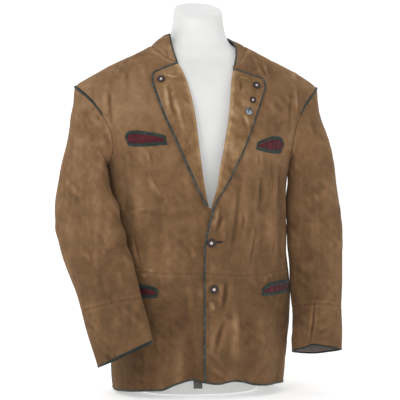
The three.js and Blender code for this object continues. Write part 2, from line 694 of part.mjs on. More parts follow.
function sideGap(z) {
  return mix(bindingReach + bindingRadius + seamGap / 2, seamGap / 2, ease((z - ventTop) / 12));
}

function skirtTurn(side, front, share, z) {
  const gap = seamTurn(z, sideGap(z), front ? 'front' : 'back');
  return front ? frontTurn(side, share, z, 90 - gap) : backTurn(side, share, z, 90 + gap);
}

function hemHeight(side, front, share) {
  return along(hemLine, 'turn', 'z', skirtTurn(side, front, share, 40));
}

function skirtPoint(side, front, share, z, out) {
  const turn = skirtTurn(side, front, share, z);
  return front ? frontPoint(side, turn, z, out) : clothPoint(turn, z, out);
}

const skirtRows = [0, 0.33, 0.67, 1];

function skirtGrid(side, front, columns, out) {
  const turnOf = front ? frontTurn : backTurn;
  return spread(columns).map((share) => {
    const hem = hemHeight(side, front, share) + bindingReach + bindingRadius;
    const waist = waistHeight(turnOf(side, share, 270, 90)) - seamGap / 2;
    const heights = [...skirtRows.map((row) => mix(hem, ventTop, row)), ventTop + 12, 228, waist];
    return heights.map((z) => skirtPoint(side, front, share, z, out));
  });
}

for (const [name, side] of [['left', 1], ['right', -1]]) {
  const front = clothWall(skirtGrid(side, true, frontColumns, 0), skirtGrid(side, true, frontColumns, -wall));
  addPiece(`skirt_front_${name}`, front, finishes.suede);
  const back = clothWall(skirtGrid(side, false, backColumns, 0), skirtGrid(side, false, backColumns, -wall));
  addPiece(`skirt_back_${name}`, back, finishes.suede);
  const grid = lapelGrid(side);
  addPiece(`lapel_${name}`, clothWall(...bothFaces(grid, -wall / 2, wall / 2)), finishes.suede);
}

// Collar, from the left front end round the back to the right one
const collarTurns = [18, 26, 36, 48, 60, 72, 85, 98, 112, 128, 145, 162, 180];

// The gap below the collar, wider in front where the seam curves most.
function collarGap(away) {
  return mix(0.5, 0.9, ease((80 - away) / 30));
}

function collarRing(share, turn) {
  const away = Math.abs(turn);
  const side = Math.sign(turn);
  const collarTop = side > 0 ? collarTopLeft : collarTopRight;
  const base = clothPoint(turn, neckHeight(side, away) + collarGap(away), -wall / 2);
  const top = new THREE.Vector3(
    side * along(collarTop, 'turn', 'x', away),
    along(collarTop, 'turn', 'y', away),
    along(collarTop, 'turn', 'z', away),
  );
  const bow = 2.5 * Math.sin(Math.PI * share);
  const point = base.lerp(top, share);
  const outward = new THREE.Vector3(point.x, point.y - 5, 0).normalize();
  return point.addScaledVector(outward, bow);
}

function collarGrid() {
  const turns = [...collarTurns, ...collarTurns.slice(0, -1).reverse().map((turn) => -turn)];
  return [0, 0.33, 0.67, 1].map((share) => turns.map((turn) => collarRing(share, turn)));
}

const collarMiddle = collarGrid();
addPiece('collar', clothWall(...bothFaces(collarMiddle, -wall / 2, wall / 2)), finishes.suede);
const facingLow = -wall / 2 - seamGap - 1.2;
const facingHigh = -wall / 2 - seamGap;
const facingGrid = collarMiddle.slice(1).map((points) => points.slice(1, -1));
addPiece('collar_facing', clothWall(...bothFaces(facingGrid, facingLow, facingHigh)), finishes.facing);

// Sleeves
function sleeveBase(arm, ring, at) {
  const last = arm.rows.at(-1).ring;
  const corner = (key, k) => new THREE.Vector3(...['X', 'Y', 'Z'].map((axis) => along(arm.rows, 'ring', key + axis, k)));
  const centre = (k) => corner('out', k).add(corner('in', k)).multiplyScalar(0.5);
  const ellipse = (k) => {
    const arrow = corner('out', k).sub(corner('in', k)).multiplyScalar(0.5);
    const axis = centre(Math.min(k + 0.3, last)).sub(centre(Math.max(k - 0.3, 0)));
    const forward = axis.cross(arrow).normalize();
    if (forward.y > 0) forward.negate();
    const half = along(arm.rows, 'ring', 'half', k);
    return centre(k)
      .addScaledVector(arrow, Math.cos(radians(at)))
      .addScaledVector(forward, half * Math.sin(radians(at)));
  };
  const seam = armhole(at, -seamGap);
  const seamPoint = clothPoint(arm.side * seam.turn, seam.z, -wall / 2);
  const near = ease(1 - ring / 1.6);
  const point = ellipse(ring).addScaledVector(seamPoint.sub(ellipse(0)), near);
  point.z += along(arm.cuffEdge, 'at', 'z', (at + 360) % 360) * ease((ring - last + 2) / 2);
  return point;
}

function sleevePoint(arm, ring, at, out) {
  const last = arm.rows.at(-1).ring;
  if (ring === 0) {
    const low = 0.5 - 0.5 * Math.cos(radians(at));
    const seam = armhole(at, -1.5 * seamGap - low);
    return clothPoint(arm.side * seam.turn, seam.z, out - wall / 2 + 0.7 * low);
  }
  const round = sleeveBase(arm, ring, at + 2).sub(sleeveBase(arm, ring, at - 2));
  const down = sleeveBase(arm, Math.min(ring + 0.1, last), at).sub(sleeveBase(arm, ring - 0.1, at));
  const normal = round.cross(down).normalize().multiplyScalar(arm.side);
  let rise = 0;
  for (const fold of arm.folds) {
    const away = (((at - fold.at + 540) % 360) - 180) / fold.wide;
    const near = (ring - fold.ring) / fold.rings;
    rise += fold.rise * Math.exp(-away * away - near * near);
  }
  return sleeveBase(arm, ring, at).addScaledVector(normal, out + rise);
}

function sleeveWall(arm, rings, from, to, low, high) {
  const round = to - from === 360;
  const count = (to - from) / ringStep + (round ? 0 : 1);
  const face = (out) => rings.map((ring) => Array.from({ length: count }, (_, k) => {
    let at = from + k * ringStep;
    if (!round && k === 0) at += 0.25;
    if (!round && k === count - 1) at -= 0.25;
    return sleevePoint(arm, ring, at, out);
  }));
  return clothWall(face(high), face(low), round);
}

for (const arm of arms) {
  const half = wall / 2;
  addPiece(`sleeve_top_${arm.name}`, sleeveWall(arm, arm.rings, -100, 100, -half, half), finishes.suede);
  addPiece(`sleeve_under_${arm.name}`, sleeveWall(arm, arm.rings, 100, 260, -half, half), finishes.suede);
  addPiece(`cuff_${arm.name}`, sleeveWall(arm, arm.cuffRings, 0, 360, -half, half), finishes.suede);
  const end = arm.rows.at(-1).ring;
  const liningRings = [end - 0.6, end - 0.3, end - 0.03];
  const lining = sleeveWall(arm, liningRings, 0, 360, -half - lift - 1, -half - lift);
  addPiece(`cuff_lining_${arm.name}`, lining, finishes.lining);
}

// Welt pockets: two welts with the pocket's inside between them
function pocketBand(rows, lowEdge, highEdge, out, thick) {
  const face = (rise) => rows.map((row) => [lowEdge(row), highEdge(row)].map((z) => {
    const side = Math.sign(row.turn);
    return frontPoint(side, row.turn, z, rise);
  }));
  return clothWall(face(out + thick), face(out));
}

for (const pocket of pockets) {
  const first = pocket.rows[0].turn;
  const end = pocket.rows.at(-1).turn;
  const rows = spread(9).map((share) => {
    const turn = mix(first, end, share);
    const table = first > end ? [...pocket.rows].reverse() : pocket.rows;
    const top = along(table, 'turn', 'top', turn);
    const low = along(table, 'turn', 'low', turn);
    const close = Math.min(share, 1 - share) < 0.02;
    const welt = close ? (top - low - seamGap) / 2 : Math.min(weltWidth, (top - low) * 0.36);
    return { turn, top, low, welt };
  });
  const inside = rows.slice(1, -1);
  const upper = pocketBand(rows, (row) => row.top - row.welt, (row) => row.top, lift, 1.6);
  const lower = pocketBand(rows, (row) => row.low, (row) => row.low + row.welt, lift, 1.6);
  const gap = seamGap;
  const red = pocketBand(inside, (row) => row.low + row.welt + gap, (row) => row.top - row.welt - gap, lift, 0.8);
  addPiece(`${pocket.name}_upper_welt`, upper, finishes.binding);
  addPiece(`${pocket.name}_lower_welt`, lower, finishes.binding);
  addPiece(`${pocket.name}_inside`, red, finishes.pocketInside);
}

// Strips over the tops of the armhole seams
for (const arm of arms) {
  const stations = [-70, -60, -50, -40, -30, -20, -10, 0, 10, 20, 30, 40, 50, 60, 70];
  const face = (out) => stations.map((at) => {
    const width = 2 + 4.5 * Math.sin(radians(Math.abs(at) * 2.4));
    return [1.5, 1.5 + width].map((grow) => {
      const seam = armhole(at, grow);
      return clothPoint(arm.side * seam.turn, seam.z, out);
    });
  });
  const rise = lift + 0.9;
  addPiece(`shoulder_strip_${arm.name}`, clothWall(face(rise + 1.2), face(rise)), finishes.binding);
}

// Bindings
const middleOut = -wall / 2;

// Centres of the binding along an edge: each point moved on from the cloth, square to the edge.
function beyond(edge, inside) {
  return edge.map((point, k) => {
    const run = edge[Math.min(k + 1, edge.length - 1)].clone().sub(edge[Math.max(k - 1, 0)]).normalize();
    const away = point.clone().sub(inside[k]);
    away.addScaledVector(run, -away.dot(run)).normalize();
    return point.clone().addScaledVector(away, bindingReach + 0.1);
  });
}

// Two runs that meet at a corner of the cloth, joined where they would cross.
function joinRuns(first, second, corner) {
  const meeting = first.at(-1).clone().add(second[0]).sub(corner);
  return [...first.slice(0, -1), meeting, ...second.slice(1)];
}

function lapelBinding(side) {
  const steps = [1, 1.25, 1.5, 1.75, 2];
  const top = steps.map((step) => lapelPoint(side, lapelTop - lapelTrim, step));
  const topRun = beyond(top, steps.map((step) => lapelPoint(side, lapelTop - 0.5, step)));
  const rows = lapelRows(side).reverse();
  const edge = rows.map((row) => lapelPoint(side, row, 2));
  const edgeRun = beyond(edge, rows.map((row) => lapelPoint(side, row, 1.75)));
  return joinRuns(topRun, edgeRun, top.at(-1));
}

function hemRun(side, front, columns) {
  return spread(columns).map((share) => {
    return skirtPoint(side, front, share, hemHeight(side, front, share) + bindingRadius, middleOut);
  });
}

// From the hem up the vent
function ventRun(side, front) {
  const hem = hemHeight(side, front, front ? 1 : 0) + bindingRadius;
  const heights = [hem, ...skirtRows.slice(1).map((row) => mix(hem, ventTop, row))];
  return heights.map((z) => {
    const gap = seamTurn(z, seamGap / 2 + bindingRadius, front ? 'front' : 'back');
    return clothPoint(side * (front ? 90 - gap : 90 + gap), z, middleOut);
  });
}

const edgeHeights = [386, 377, 366, 350, 330, 305, 273, 250, 228, 182, 170, 125, 82, 50];
const edgeRun = edgeHeights.map((z) => {
  return frontPoint(1, turnAtX(frontLimit(1, z) - bindingReach, z), z, middleOut);
});
const hemCorner = hemHeight(1, true, 0) + bindingRadius;
const foldUnder = [
  { x: 6.5, z: 403, out: 2.4 },
  { x: 0.4, z: 396.5, out: 0.9 },
].map(({ x, z, out }) => frontPoint(1, turnAtX(x, z), z, out));
const frontRun = [
  ...lapelBinding(1),
  ...foldUnder,
  ...edgeRun,
  frontPoint(1, turnAtX(frontLimit(1, hemCorner) - bindingReach, hemCorner), hemCorner, middleOut),
  ...hemRun(1, true, frontColumns).slice(0, -1),
  ...ventRun(1, true),
];
addPiece('binding_front_left', bindingGeometry(frontRun, bindingRadius), finishes.binding);
addPiece('binding_lapel_right', bindingGeometry(lapelBinding(-1), bindingRadius), finishes.binding);
const rightRun = [...hemRun(-1, true, frontColumns).slice(0, -1), ...ventRun(-1, true)];
addPiece('binding_hem_right', bindingGeometry(rightRun, bindingRadius), finishes.binding);
const backRun = [
  ...ventRun(1, false).reverse(),
  ...hemRun(1, false, backColumns).slice(1, -1),
  ...hemRun(-1, false, backColumns).reverse().slice(0, -1),
  ...ventRun(-1, false),
];
addPiece('binding_hem_back', bindingGeometry(backRun, bindingRadius), finishes.binding);

function collarBinding() {
  const column = (k) => collarMiddle.slice(1).map((points) => points.at(k));
  const rim = collarMiddle.at(-1);
  const firstEnd = beyond(column(0), column(1));
  const topRun = beyond(rim, collarMiddle.at(-2));
  const lastEnd = beyond(column(-1), column(-2)).reverse();
  return joinRuns(joinRuns(firstEnd, topRun, rim[0]), lastEnd, rim.at(-1));
}
addPiece('binding_collar', bindingGeometry(collarBinding(), bindingRadius), finishes.binding);

for (const arm of arms) {
  const end = arm.rows.at(-1).ring;
  const points = Array.from({ length: 360 / ringStep + 1 }, (_, k) => {
    const at = k * ringStep + 280 + (k === 0 ? 0.5 : 0) - (k === 360 / ringStep ? 0.5 : 0);
    const rim = sleevePoint(arm, end, at, 0);
    const down = rim.clone().sub(sleevePoint(arm, end - 0.1, at, 0)).normalize();
    return rim.addScaledVector(down, bindingReach);
  });
  addPiece(`binding_cuff_${arm.name}`, bindingGeometry(points, bindingRadius), finishes.binding);
}

// Lower corner of the facing behind the right front
const facingFace = (out) => [24, 60, 96, 130].map((z) => [-35, -25, -16].map((x) => {
  const shift = x - (z - 24) * 0.02;
  return clothPoint(turnAtX(shift, z), z, out);
}));
const facingOut = -wall - 2 * lift;
addPiece('facing_right', clothWall(facingFace(facingOut), facingFace(facingOut - 1.3)), finishes.facing);

// Buttons
function seatOnLapel(side, x, z) {
  let best = { away: Infinity };
  for (const row of spread(120)) {
    for (const step of spread(60)) {
      const point = lapelPoint(side, row * lapelTop, 1 + step);
      const away = Math.hypot(point.x - x, point.z - z);
      if (away < best.away) best = { away, row: row * lapelTop, step: 1 + step };
    }
  }
  const at = (row, step) => lapelPoint(side, row, step);
  const point = at(best.row, best.step);
  const across = at(best.row, best.step + 0.05).sub(at(best.row, best.step - 0.05));
  const up = at(best.row + 0.05, best.step).sub(at(best.row - 0.05, best.step));
  return { point, normal: across.cross(up).normalize(), half: wall / 2 };
}

function seatOnFront(x, z) {
  const turn = turnAtX(x, z);
  const point = frontPoint(1, turn, z, 0);
  const across = frontPoint(1, turn + 1, z, 0).sub(frontPoint(1, turn - 1, z, 0));
  const up = frontPoint(1, turn, z + 3, 0).sub(frontPoint(1, turn, z - 3, 0));
  return { point, normal: across.cross(up).normalize(), half: 0 };
}

function seatButton(piece, button, rise) {
  const side = button.on === 'lapelRight' ? -1 : 1;
  const seat = button.on === 'front' ? seatOnFront(button.x, button.z) : seatOnLapel(side, button.x, button.z);
  if (seat.normal.y > 0) seat.normal.negate();
  piece.position.copy(seat.point).addScaledVector(seat.normal, seat.half + rise);
  piece.quaternion.setFromUnitVectors(new THREE.Vector3(0, 1, 0), seat.normal);
}

function lathe(profile, segments) {
  return new THREE.LatheGeometry(profile.map(([x, y]) => new THREE.Vector2(x, y)), segments);
}

const buttonSides = 14;
for (const button of buttons) {
  const { radius } = button;
  const bore = radius * 0.4;
  const rim = lathe([
    [bore, 0],
    [radius * 0.9, 0],
    [radius, 1.6],
    [radius * 0.8, 3.4],
    [bore + 0.8, 2.6],
    [bore, 1.4],
    [bore, 0],
  ], buttonSides);
  seatButton(addPiece(`${button.name}_rim`, rim, finishes.horn), button, lift);
  const centre = lathe([[0, 0], [bore - 0.3, 0], [bore - 0.3, 1.4], [bore * 0.5, 2.3], [0, 2.6]], 8);
  seatButton(addPiece(`${button.name}_centre`, centre, finishes.pearl), button, lift);
}
const studShape = lathe([
  [0, 0],
  [stud.radius, 0],
  [stud.radius * 0.97, 1.2],
  [stud.radius * 0.7, 3],
  [stud.radius * 0.3, 4],
  [0, 4.2],
], buttonSides);
seatButton(addPiece(stud.name, studShape, finishes.metal), stud, lift);

// Dress form
function formRing(section) {
  return Array.from({ length: formSides }, (_, k) => {
    const angle = (2 * Math.PI * k) / formSides;
    const x = section.wide * signedPower(Math.sin(angle), 2 / formSquare);
    const depth = Math.cos(angle) > 0 ? section.front : section.back;
    const y = -depth * signedPower(Math.cos(angle), 2 / formSquare);
    return new THREE.Vector3(x, y, section.z + y * section.slope);
  });
}

function shoulderRing(z) {
  return Array.from({ length: formSides }, (_, k) => {
    const turn = (360 * k) / formSides;
    const point = clothPoint(turn, z, -wall - shoulderGap);
    const flatten = 1 - 0.16 * Math.abs(Math.cos(radians(turn))) * ease((z - 712) / 40);
    return new THREE.Vector3(point.x, point.y * flatten, point.z);
  });
}

const lowRings = formSections.filter((section) => section.z < formShoulders[0]).map(formRing);
const neckRings = formSections.filter((section) => section.z > formShoulders.at(-1)).map(formRing);
const formRings = [...lowRings, ...formShoulders.map(shoulderRing), ...neckRings];
addPiece('dress_form', solidFromRings(formRings), finishes.form);

export default jacket;
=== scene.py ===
import math

import bmesh
import bpy
import numpy as np
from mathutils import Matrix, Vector


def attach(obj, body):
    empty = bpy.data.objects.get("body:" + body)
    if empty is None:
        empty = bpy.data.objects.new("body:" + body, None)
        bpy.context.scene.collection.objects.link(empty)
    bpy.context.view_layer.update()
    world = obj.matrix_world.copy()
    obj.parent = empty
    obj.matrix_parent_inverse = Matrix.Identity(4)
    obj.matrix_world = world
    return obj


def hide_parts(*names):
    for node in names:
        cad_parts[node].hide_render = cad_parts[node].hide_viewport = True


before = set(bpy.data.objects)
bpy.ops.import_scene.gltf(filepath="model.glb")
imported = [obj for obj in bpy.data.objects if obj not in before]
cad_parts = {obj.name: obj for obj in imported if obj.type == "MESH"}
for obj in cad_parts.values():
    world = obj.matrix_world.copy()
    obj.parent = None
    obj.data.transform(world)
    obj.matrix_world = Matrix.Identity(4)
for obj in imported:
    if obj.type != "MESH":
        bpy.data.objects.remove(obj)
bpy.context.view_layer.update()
print("suede jacket: frame loaded")

# Lengths are in millimetres until a mesh is made. The form's base centre is the origin, the front
# faces -Y, and a turn is an angle in degrees round the body, 0 in front and positive to the left.

camera = {
    "turned": 10, "far": 3600, "high": 560, "aimAcross": 4.4, "aimUp": 419.1,
    "lens": 147.3, "unit": 2.2, "baseRow": 390.5,
}


def fromCamera(across, deep, up):
    turned = math.radians(camera["turned"])
    return Vector((across * math.cos(turned) + deep * math.sin(turned),
                   deep * math.cos(turned) - across * math.sin(turned), up)) / 1000


eye = fromCamera(camera["aimAcross"], -camera["far"], camera["high"])
aim = fromCamera(camera["aimAcross"], 0, camera["aimUp"])
lensData = bpy.data.cameras.new("viewer")
lensData.lens = camera["lens"]
lensData.sensor_width = 36
viewer = bpy.data.objects.new("viewer", lensData)
viewer.location = eye
viewer.rotation_euler = (aim - eye).to_track_quat("-Z", "Y").to_euler()
bpy.context.collection.objects.link(viewer)
bpy.context.scene.camera = viewer


# Smooth helpers

def ease(value):
    share = np.clip(value, 0, 1)
    return share * share * (3 - 2 * share)


def mix(a, b, share):
    return a + (b - a) * share


def unit(v):
    return v / np.maximum(np.linalg.norm(v, axis=-1, keepdims=True), 1e-9)


def vec(x, y, z):
    return np.stack(np.broadcast_arrays(x, y, z), axis=-1).astype(float)


def signedPower(value, power):
    return np.sign(value) * np.abs(value) ** power


def curve(places, values):
    p, v = np.array(places, float), np.array(values, float)
    gap = np.diff(p)
    slope = np.diff(v) / gap
    tangent = np.concatenate([slope[:1], np.zeros(len(p) - 2), slope[-1:]])
    before, after, left, right = slope[:-1], slope[1:], gap[:-1], gap[1:]
    same = before * after > 0
    safeBefore, safeAfter = np.where(same, before, 1), np.where(same, after, 1)
    middle = 3 * (left + right) / ((2 * right + left) / safeBefore + (right + 2 * left) / safeAfter)
    tangent[1:-1] = np.where(same, middle, 0)

    def at(place):
        spot = np.clip(place, p[0], p[-1])
        k = np.clip(np.searchsorted(p, spot, side="right") - 1, 0, len(p) - 2)
        step = p[k + 1] - p[k]
        t = (spot - p[k]) / step
        return (v[k] * (1 + 2 * t) * (1 - t) ** 2 + tangent[k] * step * t * (1 - t) ** 2
                + v[k + 1] * t * t * (3 - 2 * t) + tangent[k + 1] * step * t * t * (t - 1))
    return at


def curves(names, rows):
    columns = list(zip(*rows))
    return {name: curve(columns[0], values) for name, values in zip(names, columns[1:])}


# Shape of the jacket as it hangs on the form

jacket = {
    "wall": 2, "seamGap": 0.05, "armholeLow": 500, "armholeHigh": 665, "armholeFront": 29,
    "armholeBack": 28, "armholePower": 1.1, "ventTop": 170, "ventGap": 3.4, "hiddenEdge": 26, "grain": 2.6,
}

body = curves(["left", "right", "front", "back", "square"], [
    (0, 187, 187, 150, 152, 2.25), (60, 191, 191, 151, 153, 2.25), (120, 196, 195, 151, 152, 2.25),
    (190, 200, 199, 149, 149, 2.25), (270, 197, 197, 146, 143, 2.25), (340, 192, 192, 148, 140, 2.25),
    (420, 190, 190, 150, 138, 2.2), (460, 192, 192, 150, 137, 2.2), (500, 199, 199, 148, 136, 2.15),
    (560, 224, 224, 139, 131, 2.1), (610, 247, 248, 126, 122, 2.05), (645, 262, 264, 110, 112, 2),
    (665, 266, 270, 98, 103, 2), (682, 246, 248, 87, 94, 2), (699, 217, 219, 78, 86, 2),
    (720, 178, 179, 68, 78, 2), (739, 138, 138, 60, 71, 2), (758, 99, 101, 53, 66, 2),
    (772, 80, 80, 50, 62, 2),
])

# Large soft folds: low and high end, turn at each, half width in degrees, rise. The last three widen
# the body where the sleeves hang against it.
largeFolds = [
    (-50, 170, -20, -17, 6, 3), (-50, 150, -10, -10, 5, -2.5), (-50, 200, -38, -36, 8, -4),
    (-50, 205, -56, -53, 8, 3), (-50, 240, 13, 12, 5, 2.5), (-50, 220, 24, 20, 6, -3.5),
    (-50, 205, 38, 35, 8, 3), (-50, 205, 58, 55, 8, -4), (262, 505, 33, 39, 6, -3.5),
    (262, 515, 46, 52, 6, 3.5), (270, 510, 61, 63, 7, -4.5), (262, 510, -47, -52, 8, 3),
    (262, 505, -63, -61, 8, -4.5), (-50, 500, 128, 122, 11, 4), (-50, 430, 154, 157, 10, -4),
    (-50, 480, -130, -125, 11, 4), (-50, 450, -156, -153, 10, -4), (370, 565, -93, -91, 15, 5),
    (300, 560, 84, 86, 15, 4), (110, 320, 80, 84, 15, 4),
]

# Creases as the viewer sees them, in a view 400 units wide: rise of the soft ridge, depth of the
# sharp cut, width, how far the ridge leans off the line, and the line itself.
creaseGain = {
    "rise": 0.95, "cut": 0.6, "sharpShare": 0.4, "sharpLeast": 0.3, "fade": 0.45,
    "lastTurn": 100, "turnFade": 14,
}
frontCreases = [
    (-1.6, 0.9, 3.2, 0, [(109, 71), (109.5, 100), (112, 126), (114, 143)]),
    (1.8, 0, 4, 0, [(117, 112), (119, 140), (122, 172)]),
    (-1.2, 0, 3, 0, [(126.5, 62), (127, 80), (128, 100)]),
    (1.3, 0, 4, 0, [(138, 58), (143, 70), (146, 92)]),
    (-1.4, 0.5, 2.4, 0, [(149.5, 148), (150.5, 156), (153, 165)]),
    (2.2, 0.7, 4, 0.8, [(149, 172), (158, 187), (166, 198)]),
    (-2, 0, 4, 0, [(153, 183), (156, 197), (160, 212)]),
    (1.2, 0.5, 2.2, 0, [(163, 190), (166, 200), (166, 208)]),
    (2.6, 0, 8, 0, [(131, 158), (136, 200), (141, 245)]),
    (-2.6, 0, 6, 0, [(156, 205), (158, 235), (160, 270)]),
    (-1.5, 0.9, 2.2, 0, [(133, 228), (136, 244), (141.5, 266)]),
    (1.8, 0.5, 3, 0, [(190, 243), (192, 252), (195, 262)]),
    (-2, 0, 5, 0, [(199, 228), (201, 245), (203, 262)]),
    (1.2, 0.6, 2, 0, [(143, 272), (144.5, 280)]),
    (1.2, 0.6, 2, 0, [(150, 268), (150.5, 274)]),
    (1.1, 0.5, 2, 0, [(136, 268), (138, 273)]),
    (3, 0, 6, 0, [(181, 325), (181, 350), (180, 382)]),
    (-2.4, 0, 6, 0, [(174, 312), (169, 335), (164, 362)]),
    (1.8, 0, 7, 0, [(150, 300), (148, 335), (147, 375)]),
    (-1.3, 0.3, 3, 0, [(140, 345), (142, 365), (141, 381)]),
    (1, 0.3, 3, 0, [(187, 283), (190, 300), (190, 318)]),
    (3.4, 1.6, 3.4, -0.9, [(293, 72), (290.5, 88), (289.5, 122), (287.5, 140), (286, 168)]),
    (-2, 0, 4, 0, [(294, 80), (293.5, 110), (291, 140)]),
    (2.6, 1.3, 2.8, 0.9, [(296, 72), (298, 97), (299.5, 122)]),
    (2, 0.8, 2.5, 0.6, [(294.5, 70), (297.5, 76)]),
    (2, 0.9, 2.6, 0.8, [(255, 55), (258, 65), (263, 73), (269, 81), (268, 92)]),
    (1.5, 0.7, 2.2, 0.6, [(262, 57), (267, 70), (272, 86)]),
    (-1.8, 0, 3.4, 0, [(279, 118), (278, 128), (277.5, 138)]),
    (1.4, 0, 4, 0, [(272, 85), (272, 105), (273, 128)]),
    (-1.3, 0.6, 2.2, 0, [(258, 151), (258.7, 158), (260, 167)]),
    (1.6, 0, 3.4, 0, [(246, 168), (243, 186), (240, 205)]),
    (-2.4, 0.6, 3.4, 0, [(243, 176), (238, 198), (235.5, 222), (232.5, 243), (229, 262)]),
    (2.2, 0, 4.5, 0, [(250, 165), (247, 195), (244, 225), (240, 262)]),
    (-2.6, 1, 3, 0, [(262, 168), (262, 198), (259, 217)]),
    (2, 0, 4, 0, [(267, 160), (267, 190), (265, 222)]),
    (-3.4, 1.3, 3, 0, [(282, 152), (280, 190), (275, 213)]),
    (2.4, 0, 3.4, 0, [(276, 155), (274.5, 185), (270, 214)]),
    (-2.4, 0.8, 3, 0, [(272, 158), (271.5, 186)]),
    (0, 1.5, 2.6, 0, [(258, 216), (255.5, 235), (251, 258), (249, 276)]),
    (1.5, 0, 3, 0, [(262, 226), (259, 245), (254, 268)]),
    (2.8, 1, 2.8, 0.8, [(220.5, 204), (218, 219), (213, 231)]),
    (-2, 0.8, 2.6, 0, [(223, 212), (219, 224), (215, 236)]),
    (-0.8, 0.2, 2.4, 0, [(228, 229), (227, 243)]),
    (-1.4, 0.5, 2.2, 0, [(242, 208), (243, 220), (241, 232)]),
    (-1.2, 0.4, 2.4, 0, [(275, 226), (274, 244), (270, 262)]),
    (1.3, 0.4, 2.6, 0, [(266, 236), (263, 252)]),
    (-1.2, 0.4, 2.2, 0, [(282, 222), (281, 240), (279, 258)]),
    (0.8, 0.3, 2.2, 0, [(212, 260), (214, 276)]),
    (-3, 1.2, 3.4, 0, [(226.5, 274), (225, 294), (222, 315)]),
    (2.6, 0, 3, 0, [(210, 300), (213.5, 313)]),
    (-3, 0.8, 3.6, 0, [(224, 318), (220, 333), (216, 349), (214.5, 360)]),
    (3, 0, 5, 0, [(236, 296), (234.5, 330), (233, 366)]),
    (1.6, 0.7, 2, 0, [(266.5, 274), (264, 284)]),
    (1.4, 0.6, 2, 0, [(270.5, 271), (269.5, 280)]),
    (-2, 0, 7, 0, [(252, 318), (256, 345), (258, 376)]),
    (1.3, 0, 5, 0, [(268, 310), (269, 340), (268, 374)]),
    (1.2, 0.3, 3, 0, [(206, 366), (214, 371), (224, 378)]),
]
collarCreases = [
    (1.5, 0.8, 2, 0.7, [(156, 50), (159.5, 60), (161, 66)]),
    (-1.6, 0.9, 2, 0, [(165, 47), (168, 56), (170, 62)]),
    (1.2, 0.5, 1.8, 0.6, [(172, 44), (173, 52)]),
    (1.6, 0.9, 2, 0.8, [(253, 51), (256, 60), (258, 67)]),
    (-1.3, 0.6, 1.8, 0, [(245, 50), (247, 60)]),
    (1, 0.4, 1.6, 0, [(239, 60), (243, 66)]),
]
lapelCreases = [
    (-2, 0.5, 3, 0, [(167, 80), (172, 106), (179, 126)]),
    (1.6, 0, 3, 0, [(174, 92), (180, 118), (190, 148)]),
    (1, 0.9, 1.8, 0.7, [(164, 69), (167, 74), (174, 75.5), (183, 74)]),
    (1.2, 0, 3, 0, [(164, 78), (167, 100), (171, 116)]),
    (1.3, 0.7, 1.8, 0.7, [(235, 75.5), (243, 76.5), (252, 79)]),
    (-1.3, 0.4, 2.6, 0, [(238, 78), (240, 84), (241, 94)]),
    (-1.1, 0, 4, 0, [(240, 120), (237, 140), (232, 160)]),
    (1, 0.4, 2, 0, [(243, 112), (246, 120), (248, 130)]),
    (1.1, 0.3, 2.4, 0, [(226, 152), (224, 166), (220, 182)]),
]
sleeveCreases = [
    (-2.2, 0, 4, 0, [(81, 106), (86, 116), (91, 128)]),
    (2, 0, 4, 0, [(86, 112), (96, 122), (105, 128)]),
    (1.6, 0, 4, 0, [(78, 108), (81, 122), (86, 134)]),
    (-2, 0.3, 5, 0, [(98, 128), (108, 140), (114, 156)]),
    (-2.6, 0, 9, 0, [(103, 168), (108, 200), (113, 232)]),
    (2, 0.4, 4, 0, [(97, 236), (108, 243), (119, 241)]),
    (-1.6, 0.4, 4, 0, [(99, 246), (108, 251), (120, 248)]),
    (1.4, 0, 4, 0, [(79, 205), (86, 222), (92, 236)]),
    (1.6, 0, 6, 0, [(118, 264), (121, 285), (124, 298)]),
    (-1.6, 0, 8, 0, [(104, 312), (110, 328), (117, 344)]),
    (1.4, 0, 6, 0, [(131, 306), (139, 325), (146, 338)]),
    (-1.4, 0.3, 4, 0, [(96, 262), (100, 282), (103, 300)]),
    (2, 0, 5, 0, [(324, 148), (327, 190), (328, 232)]),
    (-2.4, 0, 8, 0, [(302, 132), (305, 170), (307, 214)]),
    (-1.8, 0.4, 4, 0, [(308, 110), (314, 126), (318, 144)]),
    (1.6, 0, 4, 0, [(313, 108), (319, 122), (325, 138)]),
    (1.5, 0.5, 4, 0.5, [(296, 262), (300, 284), (306, 310), (312, 324)]),
    (-2, 0, 6, 0, [(290, 268), (294, 292), (301, 322)]),
    (1.6, 0, 6, 0, [(320, 262), (324, 288), (326, 318)]),
    (1.2, 0.3, 4, 0, [(292, 252), (303, 256), (316, 252)]),
    (-1.2, 0.3, 3, 0, [(314, 330), (322, 332), (332, 329)]),
    (0.7, 2.6, 1.6, 1, [(316.5, 292), (315, 303), (313.6, 322), (310.5, 343), (309.5, 352)]),
]


def seenAt(points):
    turned, far, high = math.radians(camera["turned"]), camera["far"], camera["high"]
    across = points[..., 0] * math.cos(turned) - points[..., 1] * math.sin(turned)
    deep = points[..., 0] * math.sin(turned) + points[..., 1] * math.cos(turned)
    near = far / (far + deep)
    column = 200 + (across - camera["aimAcross"]) / camera["unit"] * near
    return column, camera["baseRow"] - (high + (points[..., 2] - high) * near) / camera["unit"]


